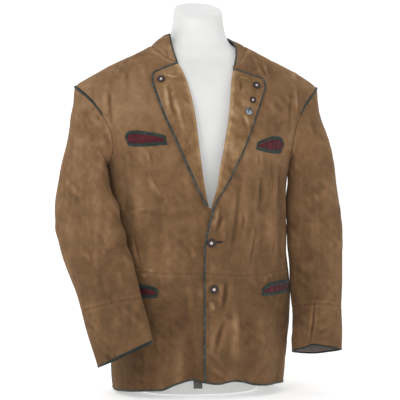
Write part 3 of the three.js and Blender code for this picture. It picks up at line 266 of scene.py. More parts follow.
def creased(points, creases):
    column, row = seenAt(points)
    total = np.zeros(column.shape)
    for rise, cut, width, lean, line in creases:
        line = np.array(line, float)
        runs = np.linalg.norm(np.diff(line, axis=0), axis=1)
        whole, done = runs.sum(), 0
        nearest, place, side = np.full(column.shape, 1e9), np.zeros(column.shape), np.zeros(column.shape)
        for (x, y), (dx, dy), run in zip(line[:-1], np.diff(line, axis=0), runs):
            raw = ((column - x) * dx + (row - y) * dy) / run ** 2
            t = np.clip(raw, 0, 1)
            away = np.hypot(column - x - t * dx, row - y - t * dy)
            better = away < nearest
            nearest = np.where(better, away, nearest)
            side = np.where(better, np.sign((row - y) * dx - (column - x) * dy), side)
            place = np.where(better, (done + t * run) / whole, place)
            done += run
        fade = ease(place / creaseGain["fade"]) * ease((1 - place) / creaseGain["fade"])
        soft = np.exp(-((side * nearest - lean * width) / width) ** 2)
        narrow = creaseGain["sharpShare"] * width + creaseGain["sharpLeast"]
        sharp = np.exp(-(nearest / narrow) ** 2)
        total += fade * (creaseGain["rise"] * rise * soft - creaseGain["cut"] * cut * sharp)
    return total


# Small waves that never stop in suede, the same in every run.
seeded = np.random.default_rng(11)
waveHeight = {"slow": 0.32, "quick": 0.13, "sleeve": 1.15}


def waves(count, shortest, longest):
    heading = unit(seeded.normal(size=(count, 3)))
    length = np.exp(seeded.uniform(np.log(shortest), np.log(longest), count))
    return heading * (2 * np.pi / length)[:, None], seeded.uniform(0, 2 * np.pi, count)


slowWaves, quickWaves, patchWaves = waves(10, 70, 160), waves(14, 16, 40), waves(8, 60, 140)


def rippled(points):
    total = [0, 0, 0]
    for k, (turns, phases) in enumerate([slowWaves, quickWaves, patchWaves]):
        for turn, phase in zip(turns, phases):
            total[k] = total[k] + np.sin(points @ turn + phase)
    return waveHeight["slow"] * total[0] + waveHeight["quick"] * total[1] * ease((total[2] + 1) / 4)


def bodySection(turn, z):
    sine, cosine = np.sin(np.radians(turn)), np.cos(np.radians(turn))
    half = np.where(sine < 0, body["right"](z), body["left"](z))
    depth = np.where(cosine > 0, body["front"](z), body["back"](z))
    power = 2 / body["square"](z)
    return vec(half * signedPower(sine, power), -depth * signedPower(cosine, power), z)


def bodyNormal(turn, z):
    across = bodySection(turn + 0.4, z) - bodySection(turn - 0.4, z)
    return unit(np.cross(across, bodySection(turn, z + 1) - bodySection(turn, z - 1)))


def largeRise(turn, z):
    total = 0
    for low, high, turnLow, turnHigh, wide, rise in largeFolds:
        middle = mix(turnLow, turnHigh, (z - low) / (high - low))
        away = ((turn - middle + 540) % 360 - 180) / wide
        total = total + rise * np.exp(-away ** 2) * ease((z - low) / 50) * ease((high - z) / 80)
    return total


# A point of the cloth as it hangs on the form, this far out from its face.
def clothPoint(turn, z, out):
    turn, z = np.broadcast_arrays(np.asarray(turn, float), np.asarray(z, float))
    base = bodySection(turn, z)
    facing = ease((creaseGain["lastTurn"] - np.abs(turn)) / creaseGain["turnFade"])
    rise = largeRise(turn, z) + facing * creased(base, frontCreases) + rippled(base) * ease((800 - z) / 60)
    return base + bodyNormal(turn, z) * (out + rise)[..., None]


# The left front lies over the right one near the middle and below the break.
lap = {"rise": 3.4, "turn": 30, "turnFade": 18, "top": 540, "topFade": 100}


def lapLift(turn, z):
    aside = ease((lap["turn"] - turn) / lap["turnFade"])
    return lap["rise"] * aside * ease((lap["top"] - z) / lap["topFade"])


def frontPoint(side, turn, z, out):
    return clothPoint(turn, z, out + (lapLift(turn, z) if side > 0 else 0 * z))


def turnAtX(x, z):
    half = np.where(x < 0, body["right"](z), body["left"](z))
    return np.sign(x) * np.degrees(np.arcsin(np.minimum(1, np.abs(x) / half) ** (body["square"](z) / 2)))


def seamTurn(z, gap, column):
    return np.degrees((gap / body[column](z)) ** (body["square"](z) / 2))


def armhole(at, grow):
    low, high = jacket["armholeLow"], jacket["armholeHigh"]
    sine = np.sin(np.radians(at))
    z = (low + high) / 2 + ((high - low) / 2 + grow) * np.cos(np.radians(at))
    cut = np.where(sine > 0, jacket["armholeFront"], jacket["armholeBack"]) + grow / 2
    return 90 - np.sign(sine) * cut * np.abs(sine) ** jacket["armholePower"], z


# Edges of the pieces: hem and waist by turn, collar seam and collar top by turn from the front.
hem = curve([-180, -120, -90, -47, -31, -18.6, -9.2, -3.3, 3.6, 11.8, 31.7, 69, 90, 120, 180],
            [9, 8, 6, 15, 18, 34, 41, 36, 32, 38, 25, 19, 15, 12, 9])
waist = curve([-180, -80, -30, 0, 20, 45, 90, 180], [273, 273, 270, 268, 263, 267, 273, 273])
neck = curves(["left", "right"], [
    (18, 709, 718), (45, 741, 742), (70, 753, 753), (90, 757, 757), (120, 754, 754),
    (150, 746, 746), (180, 742, 742),
])
collarTop = {
    1: curves("xyz", [(18, 77, -40, 756), (50, 74, -14, 766), (90, 70, 12, 773), (135, 53, 42, 780),
                      (180, 0, 58, 783)]),
    -1: curves("xyz", [(18, 69, -40, 780), (50, 73, -14, 779), (90, 75, 9, 778), (135, 53, 44, 781),
                       (180, 0, 58, 783)]),
}
frontEdge = curve([0, 37, 67, 309, 341, 370, 395], [-11, -11, -13, -12, -9, -3, 4.5])

# Lapels from the break up: roll line, outer edge, height of the roll.
lapelNames = ["rollX", "rollZ", "edgeX", "edgeZ", "high"]
lapels = {
    -1: curves(lapelNames, [
        (0, -3, 407, -7, 413, 4.2), (1, -7, 425, -18, 432, 4.6), (2, -12, 450, -33, 463, 5.4),
        (3, -18, 490, -52, 506, 6.8), (4, -24, 545, -75, 562, 8), (5, -29, 600, -95, 609, 8.6),
        (6, -36, 650, -108, 653, 9), (7, -43, 682, -113, 676, 9), (8, -50, 702, -111, 690, 8.6),
        (9, -58, 716, -105, 698, 8),
    ]),
    1: curves(lapelNames, [
        (0, 2, 405, 6, 410, 4.2), (1, 7, 424, 17, 429, 4.6), (2, 14, 450, 38, 462, 5.4),
        (3, 21, 490, 57, 498, 6.8), (4, 33, 545, 84, 551, 8), (5, 44, 600, 107, 606, 8.6),
        (6, 51, 642, 124, 645, 9), (7, 56, 670, 132, 666, 9), (8, 61, 690, 131, 677, 8.6),
        (9, 65, 703, 124, 685, 8),
    ]),
}
lapelTop, lapelTrim, lapelCreaseGain = 9, 0.15, 1.3
lapelCurl, lapelCurlShare, lapelEdgeOut = 6, 0.4, {1: 2.9, -1: 3.1}


def lapelPlaces(side, row, distance):
    shape = {name: lapels[side][name](row) for name in lapelNames}
    width = np.hypot(shape["edgeX"] - shape["rollX"], shape["edgeZ"] - shape["rollZ"])
    curl = np.minimum(lapelCurl, width * lapelCurlShare)
    share = distance(width, curl) / width
    x = mix(shape["rollX"], shape["edgeX"], share)
    return x, mix(shape["rollZ"], shape["edgeZ"], share), shape["high"]


# Step 0 is the seam under the lapel, 1 the end of the roll, 2 the outer edge.
def lapelPoint(side, row, step, out=0):
    row, step = np.broadcast_arrays(np.asarray(row, float), np.asarray(step, float))
    angle = np.pi * (np.minimum(step, 1) - 0.5)
    flat = np.maximum(step - 1, 0)

    def distance(width, curl):
        return np.where(step <= 1, curl * (1 - np.cos(angle)), mix(curl, width, flat))
    x, z, high = lapelPlaces(side, row, distance)
    rolled = -1 + high / 2 * (1 + np.sin(angle))
    rise = np.where(step <= 1, rolled, mix(high - 1, lapelEdgeOut[side], ease(flat)))
    plain = frontPoint(side, turnAtX(x, z), z, rise + out)
    extra = creased(plain, lapelCreases) * ease(flat * 4) * lapelCreaseGain
    return plain + extra[..., None] * unit(vec(0.1 * np.sign(x), -1, 0.3 + 0 * z))


def seamUnderLapel(side, row):
    x, z, _ = lapelPlaces(side, row, lambda width, curl: curl)
    return x, z


rowList = np.linspace(0, lapelTop, 181)
lapelSeams = {side: seamUnderLapel(side, rowList) for side in (-1, 1)}


def frontLimit(side, z):
    xs, zs = lapelSeams[side]
    above = np.interp(z, zs, xs) + side * (4 * jacket["seamGap"] - 6.5 * ease((z - zs[-1]) / 2.5))
    if side > 0:
        below = np.minimum(frontEdge(z), xs[0] - jacket["seamGap"])
    else:
        below = mix(xs[0] - 1, jacket["hiddenEdge"], ease((zs[0] - 1 - z) / 12))
    return np.where(z >= zs[0], above, below)


def neckHeight(side, turn):
    return neck["left" if side > 0 else "right"](np.abs(turn))


# Materials

def linear(colour):
    return [(c / 255 / 12.92) if c < 11 else ((c / 255 + 0.055) / 1.055) ** 2.4 for c in colour] + [1]


def newMaterial(name, roughness, **sockets):
    made = bpy.data.materials.new(name)
    made.use_nodes = True
    shader = made.node_tree.nodes["Principled BSDF"]
    shader.inputs["Roughness"].default_value = roughness
    for key, value in sockets.items():
        shader.inputs[key.replace("_", " ")].default_value = value
    return made, shader


def node(tree, kind, links=(), **values):
    made = tree.nodes.new("ShaderNode" + kind)
    for key, value in values.items():
        if hasattr(made, key):
            setattr(made, key, value)
        else:
            made.inputs[key].default_value = value
    for socket, source in dict(links).items():
        tree.links.new(source, made.inputs[socket])
    return made


def placed(name, roughness, **sockets):
    made, shader = newMaterial(name, roughness, **sockets)
    return made, shader, made.node_tree, node(made.node_tree, "TexCoord").outputs["Object"]


# The per-point value that lightens ridges as real nap wear and darkens hollows and creases as painted shade.
def wornAndShadedPlaces(tree):
    return node(tree, "Attribute", attribute_name="wornAndShaded").outputs["Fac"]


def noise(tree, place, scale, detail, roughness=0.6, distortion=0.0):
    made = node(tree, "TexNoise", {"Vector": place}, Scale=scale, Detail=detail, Roughness=roughness)
    made.inputs["Distortion"].default_value = distortion
    return made.outputs["Fac"]


def worked(tree, operation, source, number):
    made = node(tree, "Math", {0: source}, operation=operation)
    made.inputs[1].default_value = number
    return made.outputs[0]


def sums(tree, terms):
    parts = [worked(tree, "MULTIPLY", source, weight) for source, weight in terms]
    total = parts[0]
    for part in parts[1:]:
        total = node(tree, "Math", {0: total, 1: part}, operation="ADD").outputs[0]
    return total


def colourStops(tree, source, stops):
    ramp = node(tree, "ValToRGB", {"Fac": source})
    band = ramp.color_ramp
    while len(band.elements) < len(stops):
        band.elements.new(0.5)
    for element, (place, colour) in zip(band.elements, stops):
        element.position = place
        element.color = linear(colour)
    return ramp.outputs["Color"]


def relief(tree, shader, layers):
    before = None
    for source, strength, distance in layers:
        bump = node(tree, "Bump", {"Height": source}, Strength=strength, Distance=distance)
        if before is not None:
            tree.links.new(before, bump.inputs["Normal"])
        before = bump.outputs["Normal"]
    tree.links.new(before, shader.inputs["Normal"])


# Noises in the suede: scale, detail, roughness, distortion, and the weight in its tone.
suedeNoises = {
    "clouds": (6.5, 4, 0.6, 0.5, 0.5), "mottle": (34, 6, 0.65, 0.6, 0.24),
    "brushed": (26, 5, 0.62, 0.8, 0.24), "nap": (130, 4, 0.7, 0.3, 0.12),
    "fibre": (620, 2, 0.6, 0.0, 0.05),
}
# Suede tone: the weight of height, which paints light falloff (lighter towards the top, darker towards the
# bottom as the key light from above falls off), the offset taken off, and the squash of the brushed noise.
suedeTone = {"height": 0.2, "less": 0.172, "hang": 0.3}


def suedeMaterial(name, look):
    made, shader, tree, place = placed(
        name, 0.96, Sheen_Weight=look["sheen"], Sheen_Roughness=0.55, Sheen_Tint=linear(look["bloom"]),
        Specular_IOR_Level=0.12)
    hung = node(tree, "Mapping", {"Vector": place}, Scale=(1, 1, suedeTone["hang"])).outputs["Vector"]
    height = node(tree, "SeparateXYZ", {"Vector": place}).outputs["Z"]
    layers = {key: noise(tree, hung if key == "brushed" else place, *row[:-1])
              for key, row in suedeNoises.items()}
    terms = [(layers[key], row[-1]) for key, row in suedeNoises.items()]
    # Tone: the noises, the per-point ridge wear and painted crease shade, and painted light falloff that
    # lightens the suede with height.
    tone = sums(tree, terms + [(wornAndShadedPlaces(tree), look["wearAndShade"]), (height, suedeTone["height"])])
    tone = worked(tree, "SUBTRACT", tone, suedeTone["less"])
    tree.links.new(colourStops(tree, tone, look["stops"]), shader.inputs["Base Color"])
    relief(tree, shader, [(layers["mottle"], 0.22, 0.004), (layers["nap"], 0.3, 0.0012),
                          (layers["fibre"], 0.35, 0.0004)])
    return made


# Each suede look: sheen, its tint, the weight of the per-point ridge wear and painted crease shade, and the
# tone's colour stops.
suedeLooks = {
    "bodySuede": {"sheen": 0.28, "bloom": (190, 160, 125), "wearAndShade": 0.2, "stops": [
        (0.28, (74, 53, 36)), (0.45, (103, 77, 53)), (0.55, (122, 92, 65)), (0.74, (154, 124, 94))]},
    "lapelSuede": {"sheen": 0.3, "bloom": (205, 170, 130), "wearAndShade": 0.26, "stops": [
        (0.34, (80, 56, 37)), (0.46, (107, 79, 53)), (0.57, (132, 102, 71)), (0.7, (170, 142, 108))]},
}
finishes = {name: suedeMaterial(name, look) for name, look in suedeLooks.items()}


def clothMaterial(name, look):
    made, shader, tree, place = placed(name, look["rough"], Sheen_Weight=look["sheen"],
                                       Specular_IOR_Level=0.25)
    mottle = noise(tree, place, look["mottle"], 5, 0.65, 0.4)
    grain = noise(tree, place, 480, 3, 0.6)
    # The per-point value adds real wear on ridges and painted shade in hollows and creases.
    tone = sums(tree, [(mottle, 0.7), (grain, 0.3), (wornAndShadedPlaces(tree), 0.15)])
    tree.links.new(colourStops(tree, tone, look["stops"]), shader.inputs["Base Color"])
    relief(tree, shader, [(mottle, 0.2, 0.0012), (grain, 0.35, 0.0005)])
    return made


clothLooks = {
    "binding": {"rough": 0.72, "sheen": 0.15, "mottle": 90, "stops": [
        (0.34, (34, 36, 32)), (0.5, (55, 57, 51)), (0.66, (84, 86, 78))]},
    "welt": {"rough": 0.74, "sheen": 0.15, "mottle": 90, "stops": [
        (0.34, (20, 28, 25)), (0.5, (35, 45, 40)), (0.66, (58, 70, 64))]},
    "pocketInside": {"rough": 0.85, "sheen": 0.2, "mottle": 60, "stops": [
        (0.34, (46, 10, 18)), (0.5, (72, 18, 27)), (0.68, (98, 30, 39))]},
    "lining": {"rough": 0.5, "sheen": 0.1, "mottle": 40, "stops": [
        (0.34, (92, 82, 80)), (0.5, (118, 106, 103)), (0.66, (140, 128, 124))]},
    "underFacing": {"rough": 0.8, "sheen": 0.1, "mottle": 60, "stops": [
        (0.34, (50, 49, 46)), (0.5, (72, 71, 67)), (0.66, (94, 93, 88))]},
    "facing": {"rough": 0.85, "sheen": 0.15, "mottle": 60, "stops": [
        (0.34, (16, 21, 18)), (0.5, (30, 37, 33)), (0.66, (46, 54, 49))]},
    "thread": {"rough": 0.8, "sheen": 0.2, "mottle": 60, "stops": [
        (0.34, (72, 52, 36)), (0.5, (92, 68, 48)), (0.66, (112, 86, 62))]},
    "darkThread": {"rough": 0.8, "sheen": 0.1, "mottle": 60, "stops": [
        (0.34, (24, 22, 20)), (0.5, (36, 33, 30)), (0.66, (50, 46, 42))]},
}
finishes.update({name: clothMaterial(name, look) for name, look in clothLooks.items()})


# Hard materials; an emission weight, where given, paints light onto a part that is no lamp.
def hardMaterial(name, look):
    made, shader, tree, place = placed(
        name, look["rough"], Metallic=look.get("metal", 0.0), Coat_Weight=look.get("coat", 0.0),
        Coat_Roughness=0.15, Emission_Color=(1, 1, 1, 1), Emission_Strength=look.get("paintedFillGlow", 0.0))
    streaks = noise(tree, place, look["scale"], 4, 0.6, look["twist"])
    tree.links.new(colourStops(tree, streaks, look["stops"]), shader.inputs["Base Color"])
    relief(tree, shader, [(streaks, look["bump"], 0.0005)])
    return made


hardLooks = {
    "horn": {"rough": 0.6, "coat": 0.05, "scale": 160, "twist": 2.0, "bump": 0.1, "stops": [
        (0.35, (24, 12, 9)), (0.55, (40, 22, 17)), (0.7, (64, 38, 29))]},
    "pearl": {"rough": 0.2, "coat": 0.6, "scale": 240, "twist": 3.0, "bump": 0.05, "stops": [
        (0.35, (178, 158, 152)), (0.52, (205, 190, 183)), (0.7, (228, 217, 211))]},
    "metal": {"rough": 0.3, "metal": 1.0, "scale": 90, "twist": 0.5, "bump": 0.08, "stops": [
        (0.35, (96, 104, 112)), (0.55, (128, 136, 144)), (0.7, (160, 166, 172))]},
    # The form glows faintly: painted light that lifts the shade on the form in the V between the lapels.
    "form": {"rough": 0.5, "coat": 0.1, "paintedFillGlow": 0.17, "scale": 12, "twist": 0.0, "bump": 0.02, "stops": [
        (0.3, (192, 193, 191)), (0.5, (198, 199, 197)), (0.7, (203, 204, 202))]},
}
finishes.update({name: hardMaterial(name, look) for name, look in hardLooks.items()})
print("suedes, cloths and buttons have their materials")


# Meshes

def makePiece(name, points, faces, slots, faceSlots=None, wornAndShaded=None, nodes=(), sharp=50):
    mesh = bpy.data.meshes.new(name)
    mesh.from_pydata((points / 1000).tolist(), [], faces)
    for slot in slots:
        mesh.materials.append(finishes[slot])
    if faceSlots is not None:
        mesh.polygons.foreach_set("material_index", np.asarray(faceSlots, np.int32))
    # Store the per-point value of real nap wear on ridges and painted shade in hollows and creases.
    if wornAndShaded is not None:
        layer = mesh.attributes.new("wornAndShaded", "FLOAT", "POINT")
        layer.data.foreach_set("value", np.asarray(wornAndShaded, np.float32))
    shaped = bmesh.new()
    shaped.from_mesh(mesh)
    bmesh.ops.recalc_face_normals(shaped, faces=shaped.faces)
    shaped.to_mesh(mesh)
    shaped.free()
    mesh.shade_smooth()
    mesh.set_sharp_from_angle(angle=math.radians(sharp))
    piece = bpy.data.objects.new(name, mesh)
    bpy.context.collection.objects.link(piece)
    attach(piece, "root")
    if nodes:
        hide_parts(*nodes)
    return piece


coarse = 4  # the inner face has one point for every four of the outer one
wearAndShadeReach = 5.2


# Four-sided faces between rows of points. A row may close round, and the last row may meet the first.
def quads(rows, columns, closed=False, start=0, looped=False):
    r, c = np.meshgrid(np.arange(rows if looped else rows - 1),
                       np.arange(columns if closed else columns - 1), indexing="ij")
    n, d = (r + 1) % rows, (c + 1) % columns
    faces = np.stack([r * columns + c, r * columns + d, n * columns + d, n * columns + c], -1)
    return (faces.reshape(-1, 4) + start).tolist()


# How proud each point stands of those round it: ridges get lighter where the nap really wears, and hollows
# and crease grooves get darker as painted shade.
def wornAndShadedOf(grid, normal, tube=False):
    k = max(1, round(wearAndShadeReach / jacket["grain"]))
    padded = np.pad(grid, ((k, k), (0, 0), (0, 0)), mode="edge")
    padded = np.pad(padded, ((0, 0), (k, k), (0, 0)), mode="wrap" if tube else "edge")
    around = (padded[:-2 * k, k:-k] + padded[2 * k:, k:-k] + padded[k:-k, :-2 * k] + padded[k:-k, 2 * k:]) / 4
    proud = np.sum((grid - around) * normal, axis=-1)
    proud -= np.median(proud)
    return np.clip(proud * 1.1, -1, 1)


def flatSize(grid):
    wide = np.linalg.norm(np.diff(grid, axis=1), axis=-1).sum(axis=1)
    long = np.linalg.norm(np.diff(grid, axis=0), axis=-1).sum(axis=0)
    a, b = grid[1:, 1:] - grid[:-1, :-1], grid[1:, :-1] - grid[:-1, 1:]
    area = np.linalg.norm(np.cross(a, b), axis=-1).sum() / 2
    return wide.max() / 1000, long.max() / 1000, area / 1e6


def clothSheet(name, outer, inner, slots, nodes, tube=False, wornAndShaded=None):
    rows, columns = outer.shape[:2]
    innerColumns, innerRows = np.arange(0, columns, coarse), np.arange(0, rows, coarse)
    inside = inner[np.ix_(innerRows, innerColumns)]
    points = np.concatenate([outer.reshape(-1, 3), inside.reshape(-1, 3)])
    base, wide = rows * columns, len(innerColumns)
    faces = quads(rows, columns, tube)
    shown = len(faces)
    faces += quads(len(innerRows), wide, tube, base)
    hidden = len(faces) - shown
    for row, innerRow in ((0, 0), (rows - 1, len(innerRows) - 1)):
        for k in range(wide if tube else wide - 1):
            rim = [row * columns + (k * coarse + j) % columns for j in range(coarse + 1)]
            faces.append(rim + [base + innerRow * wide + (k + 1) % wide, base + innerRow * wide + k])
    if not tube:
        for column, innerColumn in ((0, 0), (columns - 1, wide - 1)):
            for k in range(len(innerRows) - 1):
                rim = [(k * coarse + j) * columns + column for j in range(coarse + 1)]
                faces.append(rim + [base + (k + 1) * wide + innerColumn, base + k * wide + innerColumn])
    faceSlots = np.zeros(len(faces), np.int32)
    faceSlots[shown:shown + hidden] = len(slots) - 1
    wearAndShade = None
    if wornAndShaded is not None:
        wearAndShade = np.concatenate([wornAndShaded.reshape(-1), np.zeros(len(points) - base)])
    piece = makePiece(name, points, faces, slots, faceSlots, wearAndShade, nodes)
    wide, tall, area = flatSize(outer)
    wide, tall = max(0.01, round(wide, 3)), max(0.01, round(tall, 3))
    return piece


def counted(length, grain=None):
    return int(max(1, round(length / (grain or jacket["grain"]) / coarse))) * coarse + 1


# How far the cloth sinks or swells beside its seams, from the distance to each of its edges.
seamShape = {"sunk": 2.2, "swellAt": 6, "swellWide": 3.6, "swell": 0.45}


def seamRelief(grid, edges):
    across = np.linalg.norm(np.diff(grid, axis=1), axis=-1)
    along = np.linalg.norm(np.diff(grid, axis=0), axis=-1)
    fromLeft = np.concatenate([np.zeros((len(grid), 1)), np.cumsum(across, axis=1)], axis=1)
    fromLow = np.concatenate([np.zeros((1, grid.shape[1])), np.cumsum(along, axis=0)], axis=0)
    ways = {"left": fromLeft, "right": fromLeft[:, -1:] - fromLeft,
            "low": fromLow, "high": fromLow[-1:] - fromLow}
    total = np.zeros(grid.shape[:2])
    for edge, depth in edges.items():
        away = ways[edge]
        run = fromLow if edge in ("left", "right") else fromLeft
        pucker = 1 + 0.5 * np.sin(run / 6.5 + 2 * np.sin(run / 31)) * np.sin(run / 17 + 1)
        swell = np.exp(-((away - seamShape["swellAt"]) / seamShape["swellWide"]) ** 2)
        total += depth * (seamShape["swell"] * pucker * swell - np.exp(-(away / seamShape["sunk"]) ** 2))
    return total


# Rounds the turn from the wall into the shoulder, where the rows lie close together.
def rounded(grid, rows, shares, middle=3, reach=0.26, times=22):
    near = ease(1 - np.abs(rows - middle) / reach)[:, None] * ease(np.minimum(shares, 1 - shares) * 12)
    for _ in range(times):
        mean = grid.copy()
        mean[1:-1] = (grid[:-2] + grid[2:]) / 2
        grid = mix(grid, mean, 0.5 * near[..., None])
    return grid


def panel(name, pointAt, rows, shares, slots, nodes, edges):
    grid, above = pointAt(rows, shares, 0), pointAt(rows, shares, 1)
    normal = unit(above - grid)
    if rows[-1] > 3:
        grid = rounded(grid, rows, shares)
    outer = grid + normal * seamRelief(grid, edges)[..., None]
    inner = grid - normal * jacket["wall"]
    return clothSheet(name, outer, inner, slots, nodes, wornAndShaded=wornAndShadedOf(outer, normal))


# Fronts, backs and skirts

def armRim(z, at, front):
    gap = seamTurn(z, jacket["seamGap"] / 2, "front" if front else "back")
    seam = armhole(at if front else -at, 0)[0]
    return np.where(at > 0, seam, 90 - gap if front else 90 + gap)


def turnOfFront(side, share, z, rim):
    return mix(turnAtX(frontLimit(side, z), z), side * rim, share)


def turnOfBack(side, share, z, rim):
    return side * mix(rim, 180 - seamTurn(z, jacket["seamGap"] / 2, "left"), share)


def frontNeck(side, share):
    z = 730
    for _ in range(12):
        z = neckHeight(side, turnOfFront(side, share, z, armRim(z, 0, True)))
    return z


def upperPoint(side, front):
    def at(u, share, out):
        u, share = np.meshgrid(u, share, indexing="ij")
        turnOf = turnOfFront if front else turnOfBack
        neckZ = frontNeck(side, share) if front else neckHeight(side, mix(90, 180, share))
        waistZ = waist(turnOf(side, share, 270, 90)) + jacket["seamGap"] / 2
        start = lapelSeams[side][1][0]
        armAt = 180 * (1 - np.clip(u - 2, 0, 1))
        z = mix(waistZ, start, np.clip(u, 0, 1))
        z = np.where(u >= 1, mix(start, jacket["armholeLow"], np.clip(u - 1, 0, 1)), z)
        z = np.where(u >= 2, armhole(armAt, 0)[1], z)
        z = np.where(u >= 3, mix(jacket["armholeHigh"], neckZ, np.clip(u - 3, 0, 1)), z)
        rim = armRim(z, np.where((u > 2) & (u < 3), armAt, 0), front)
        turn = turnOf(side, share, z, rim)
        return frontPoint(side, turn, z, out) if front else clothPoint(turn, z, out)
    return at


def stretches(lengths):
    counts = [counted(length) - 1 for length in lengths]
    rows = [k + np.arange(count) / count for k, count in enumerate(counts)]
    return np.concatenate(rows + [[len(lengths)]])


upperRows = stretches([142, 94, 190, 74])  # to the break, to the armhole, along it, to the neck
sides = [("left", 1), ("right", -1)]
suedeAndLining = ["bodySuede", "lining"]
panelShares = np.linspace(0, 1, counted(300))

for name, side in sides:
    panel(f"frontPanel_{name}", upperPoint(side, True), upperRows, panelShares, suedeAndLining,
          [f"front_{name}"], {"low": 0.3, "right": 0.8, "high": 0.9})
    panel(f"backPanel_{name}", upperPoint(side, False), upperRows, panelShares, suedeAndLining,
          [f"back_{name}"], {"low": 0.5, "left": 0.8, "right": 0.8, "high": 0.9})


def sideGap(z):
    return mix(jacket["ventGap"], jacket["seamGap"] / 2, ease((z - jacket["ventTop"]) / 12))


def skirtTurn(side, front, share, z):
    gap = seamTurn(z, sideGap(z), "front" if front else "back")
    return (turnOfFront if front else turnOfBack)(side, share, z, 90 - gap if front else 90 + gap)


def skirtAt(side, front, share, z, out):
    turn = skirtTurn(side, front, share, z)
    return frontPoint(side, turn, z, out) if front else clothPoint(turn, z, out)


def hemZ(side, front, share):
    return hem(skirtTurn(side, front, share, 40))


def skirtPoint(side, front):
    def at(v, share, out):
        v, share = np.meshgrid(v, share, indexing="ij")
        turnOf = turnOfFront if front else turnOfBack
        waistZ = waist(turnOf(side, share, 270, 90)) - jacket["seamGap"] / 2
        z = mix(hemZ(side, front, share) + 3, waistZ, v)
        return skirtAt(side, front, share, z, out)
    return at


for name, side in sides:
    rows = np.linspace(0, 1, counted(240))
    panel(f"skirtFront_{name}", skirtPoint(side, True), rows, panelShares, suedeAndLining,
          [f"skirt_front_{name}"], {"high": 0.3, "right": 0.5})
    panel(f"skirtBack_{name}", skirtPoint(side, False), rows, panelShares, suedeAndLining,
          [f"skirt_back_{name}"], {"high": 0.5, "left": 0.5, "right": 0.8})
print("fronts, backs and skirts are cut and sewn")


def doubleCloth(name, grid, half, slots, nodes, edges=None, face=1):
    normal = unit(np.cross(np.gradient(grid, axis=1), np.gradient(grid, axis=0))) * face
    outer = grid + normal * (half + seamRelief(grid, edges or {}))[..., None]
    wornAndShaded = wornAndShadedOf(outer, normal)
    return clothSheet(name, outer, grid - normal * half, slots, nodes, wornAndShaded=wornAndShaded)


for name, side in sides:
    rows = np.linspace(lapelTrim, lapelTop - lapelTrim, counted(330))
    steps = np.concatenate([np.linspace(0, 1, 3 * coarse + 1)[:-1], np.linspace(1, 2, counted(80) + coarse)])
    grid = lapelPoint(side, rows[:, None], steps[None, :])
    doubleCloth(f"lapelCloth_{name}", grid, 1, ["lapelSuede"], [f"lapel_{name}"], face=side)


# Stand collar

collar = {"start": 18, "leftShift": 3, "shiftEnd": 45, "seamRise": 0.3, "bulge": 2.5}


def collarPoint(share, s, out=0):
    share, s = np.meshgrid(share, s, indexing="ij")
    turn = collar["start"] + (360 - 2 * collar["start"]) * s
    turn = np.where(turn > 180, turn - 360, turn)
    away, way = np.abs(turn), np.sign(turn)
    shifted = ease((collar["shiftEnd"] - turn) / (collar["shiftEnd"] - collar["start"])) * (turn > 0)
    sewn = turn + collar["leftShift"] * shifted
    seam = np.where(turn > 0, neck["left"](np.abs(sewn)), neck["right"](np.abs(sewn)))
    base = clothPoint(sewn, seam + collar["seamRise"], -1)
    top = vec(*[np.where(way > 0, collarTop[1][axis](away), collarTop[-1][axis](away)) for axis in "xyz"])
    top[..., 0] *= way
    point = mix(base, top, share[..., None])
    outward = unit(vec(point[..., 0], point[..., 1] - 5, 0))
    arch = np.sin(np.pi * np.clip(share, 0, 1))
    lift = (collar["bulge"] + rippled(point)) * arch + out + creased(point, collarCreases) * arch ** 0.5
    return point + outward * lift[..., None]


collarAcross = np.linspace(0, 1, counted(560))
collarGrid = collarPoint(np.linspace(0, 1, counted(46)), collarAcross)
doubleCloth("collarCloth", collarGrid, 1, ["bodySuede"], ["collar"], {"low": 0.5})
facingGrid = collarPoint(np.linspace(0.32, 0.985, counted(31)), np.linspace(0.02, 0.98, counted(540)), -2.2)
doubleCloth("collarFacing", facingGrid, 0.5, ["facing"], ["collar_facing"], face=-1)


# Sleeves

sleeveColumns = ["outX", "outY", "outZ", "inX", "inY", "inZ", "half"]
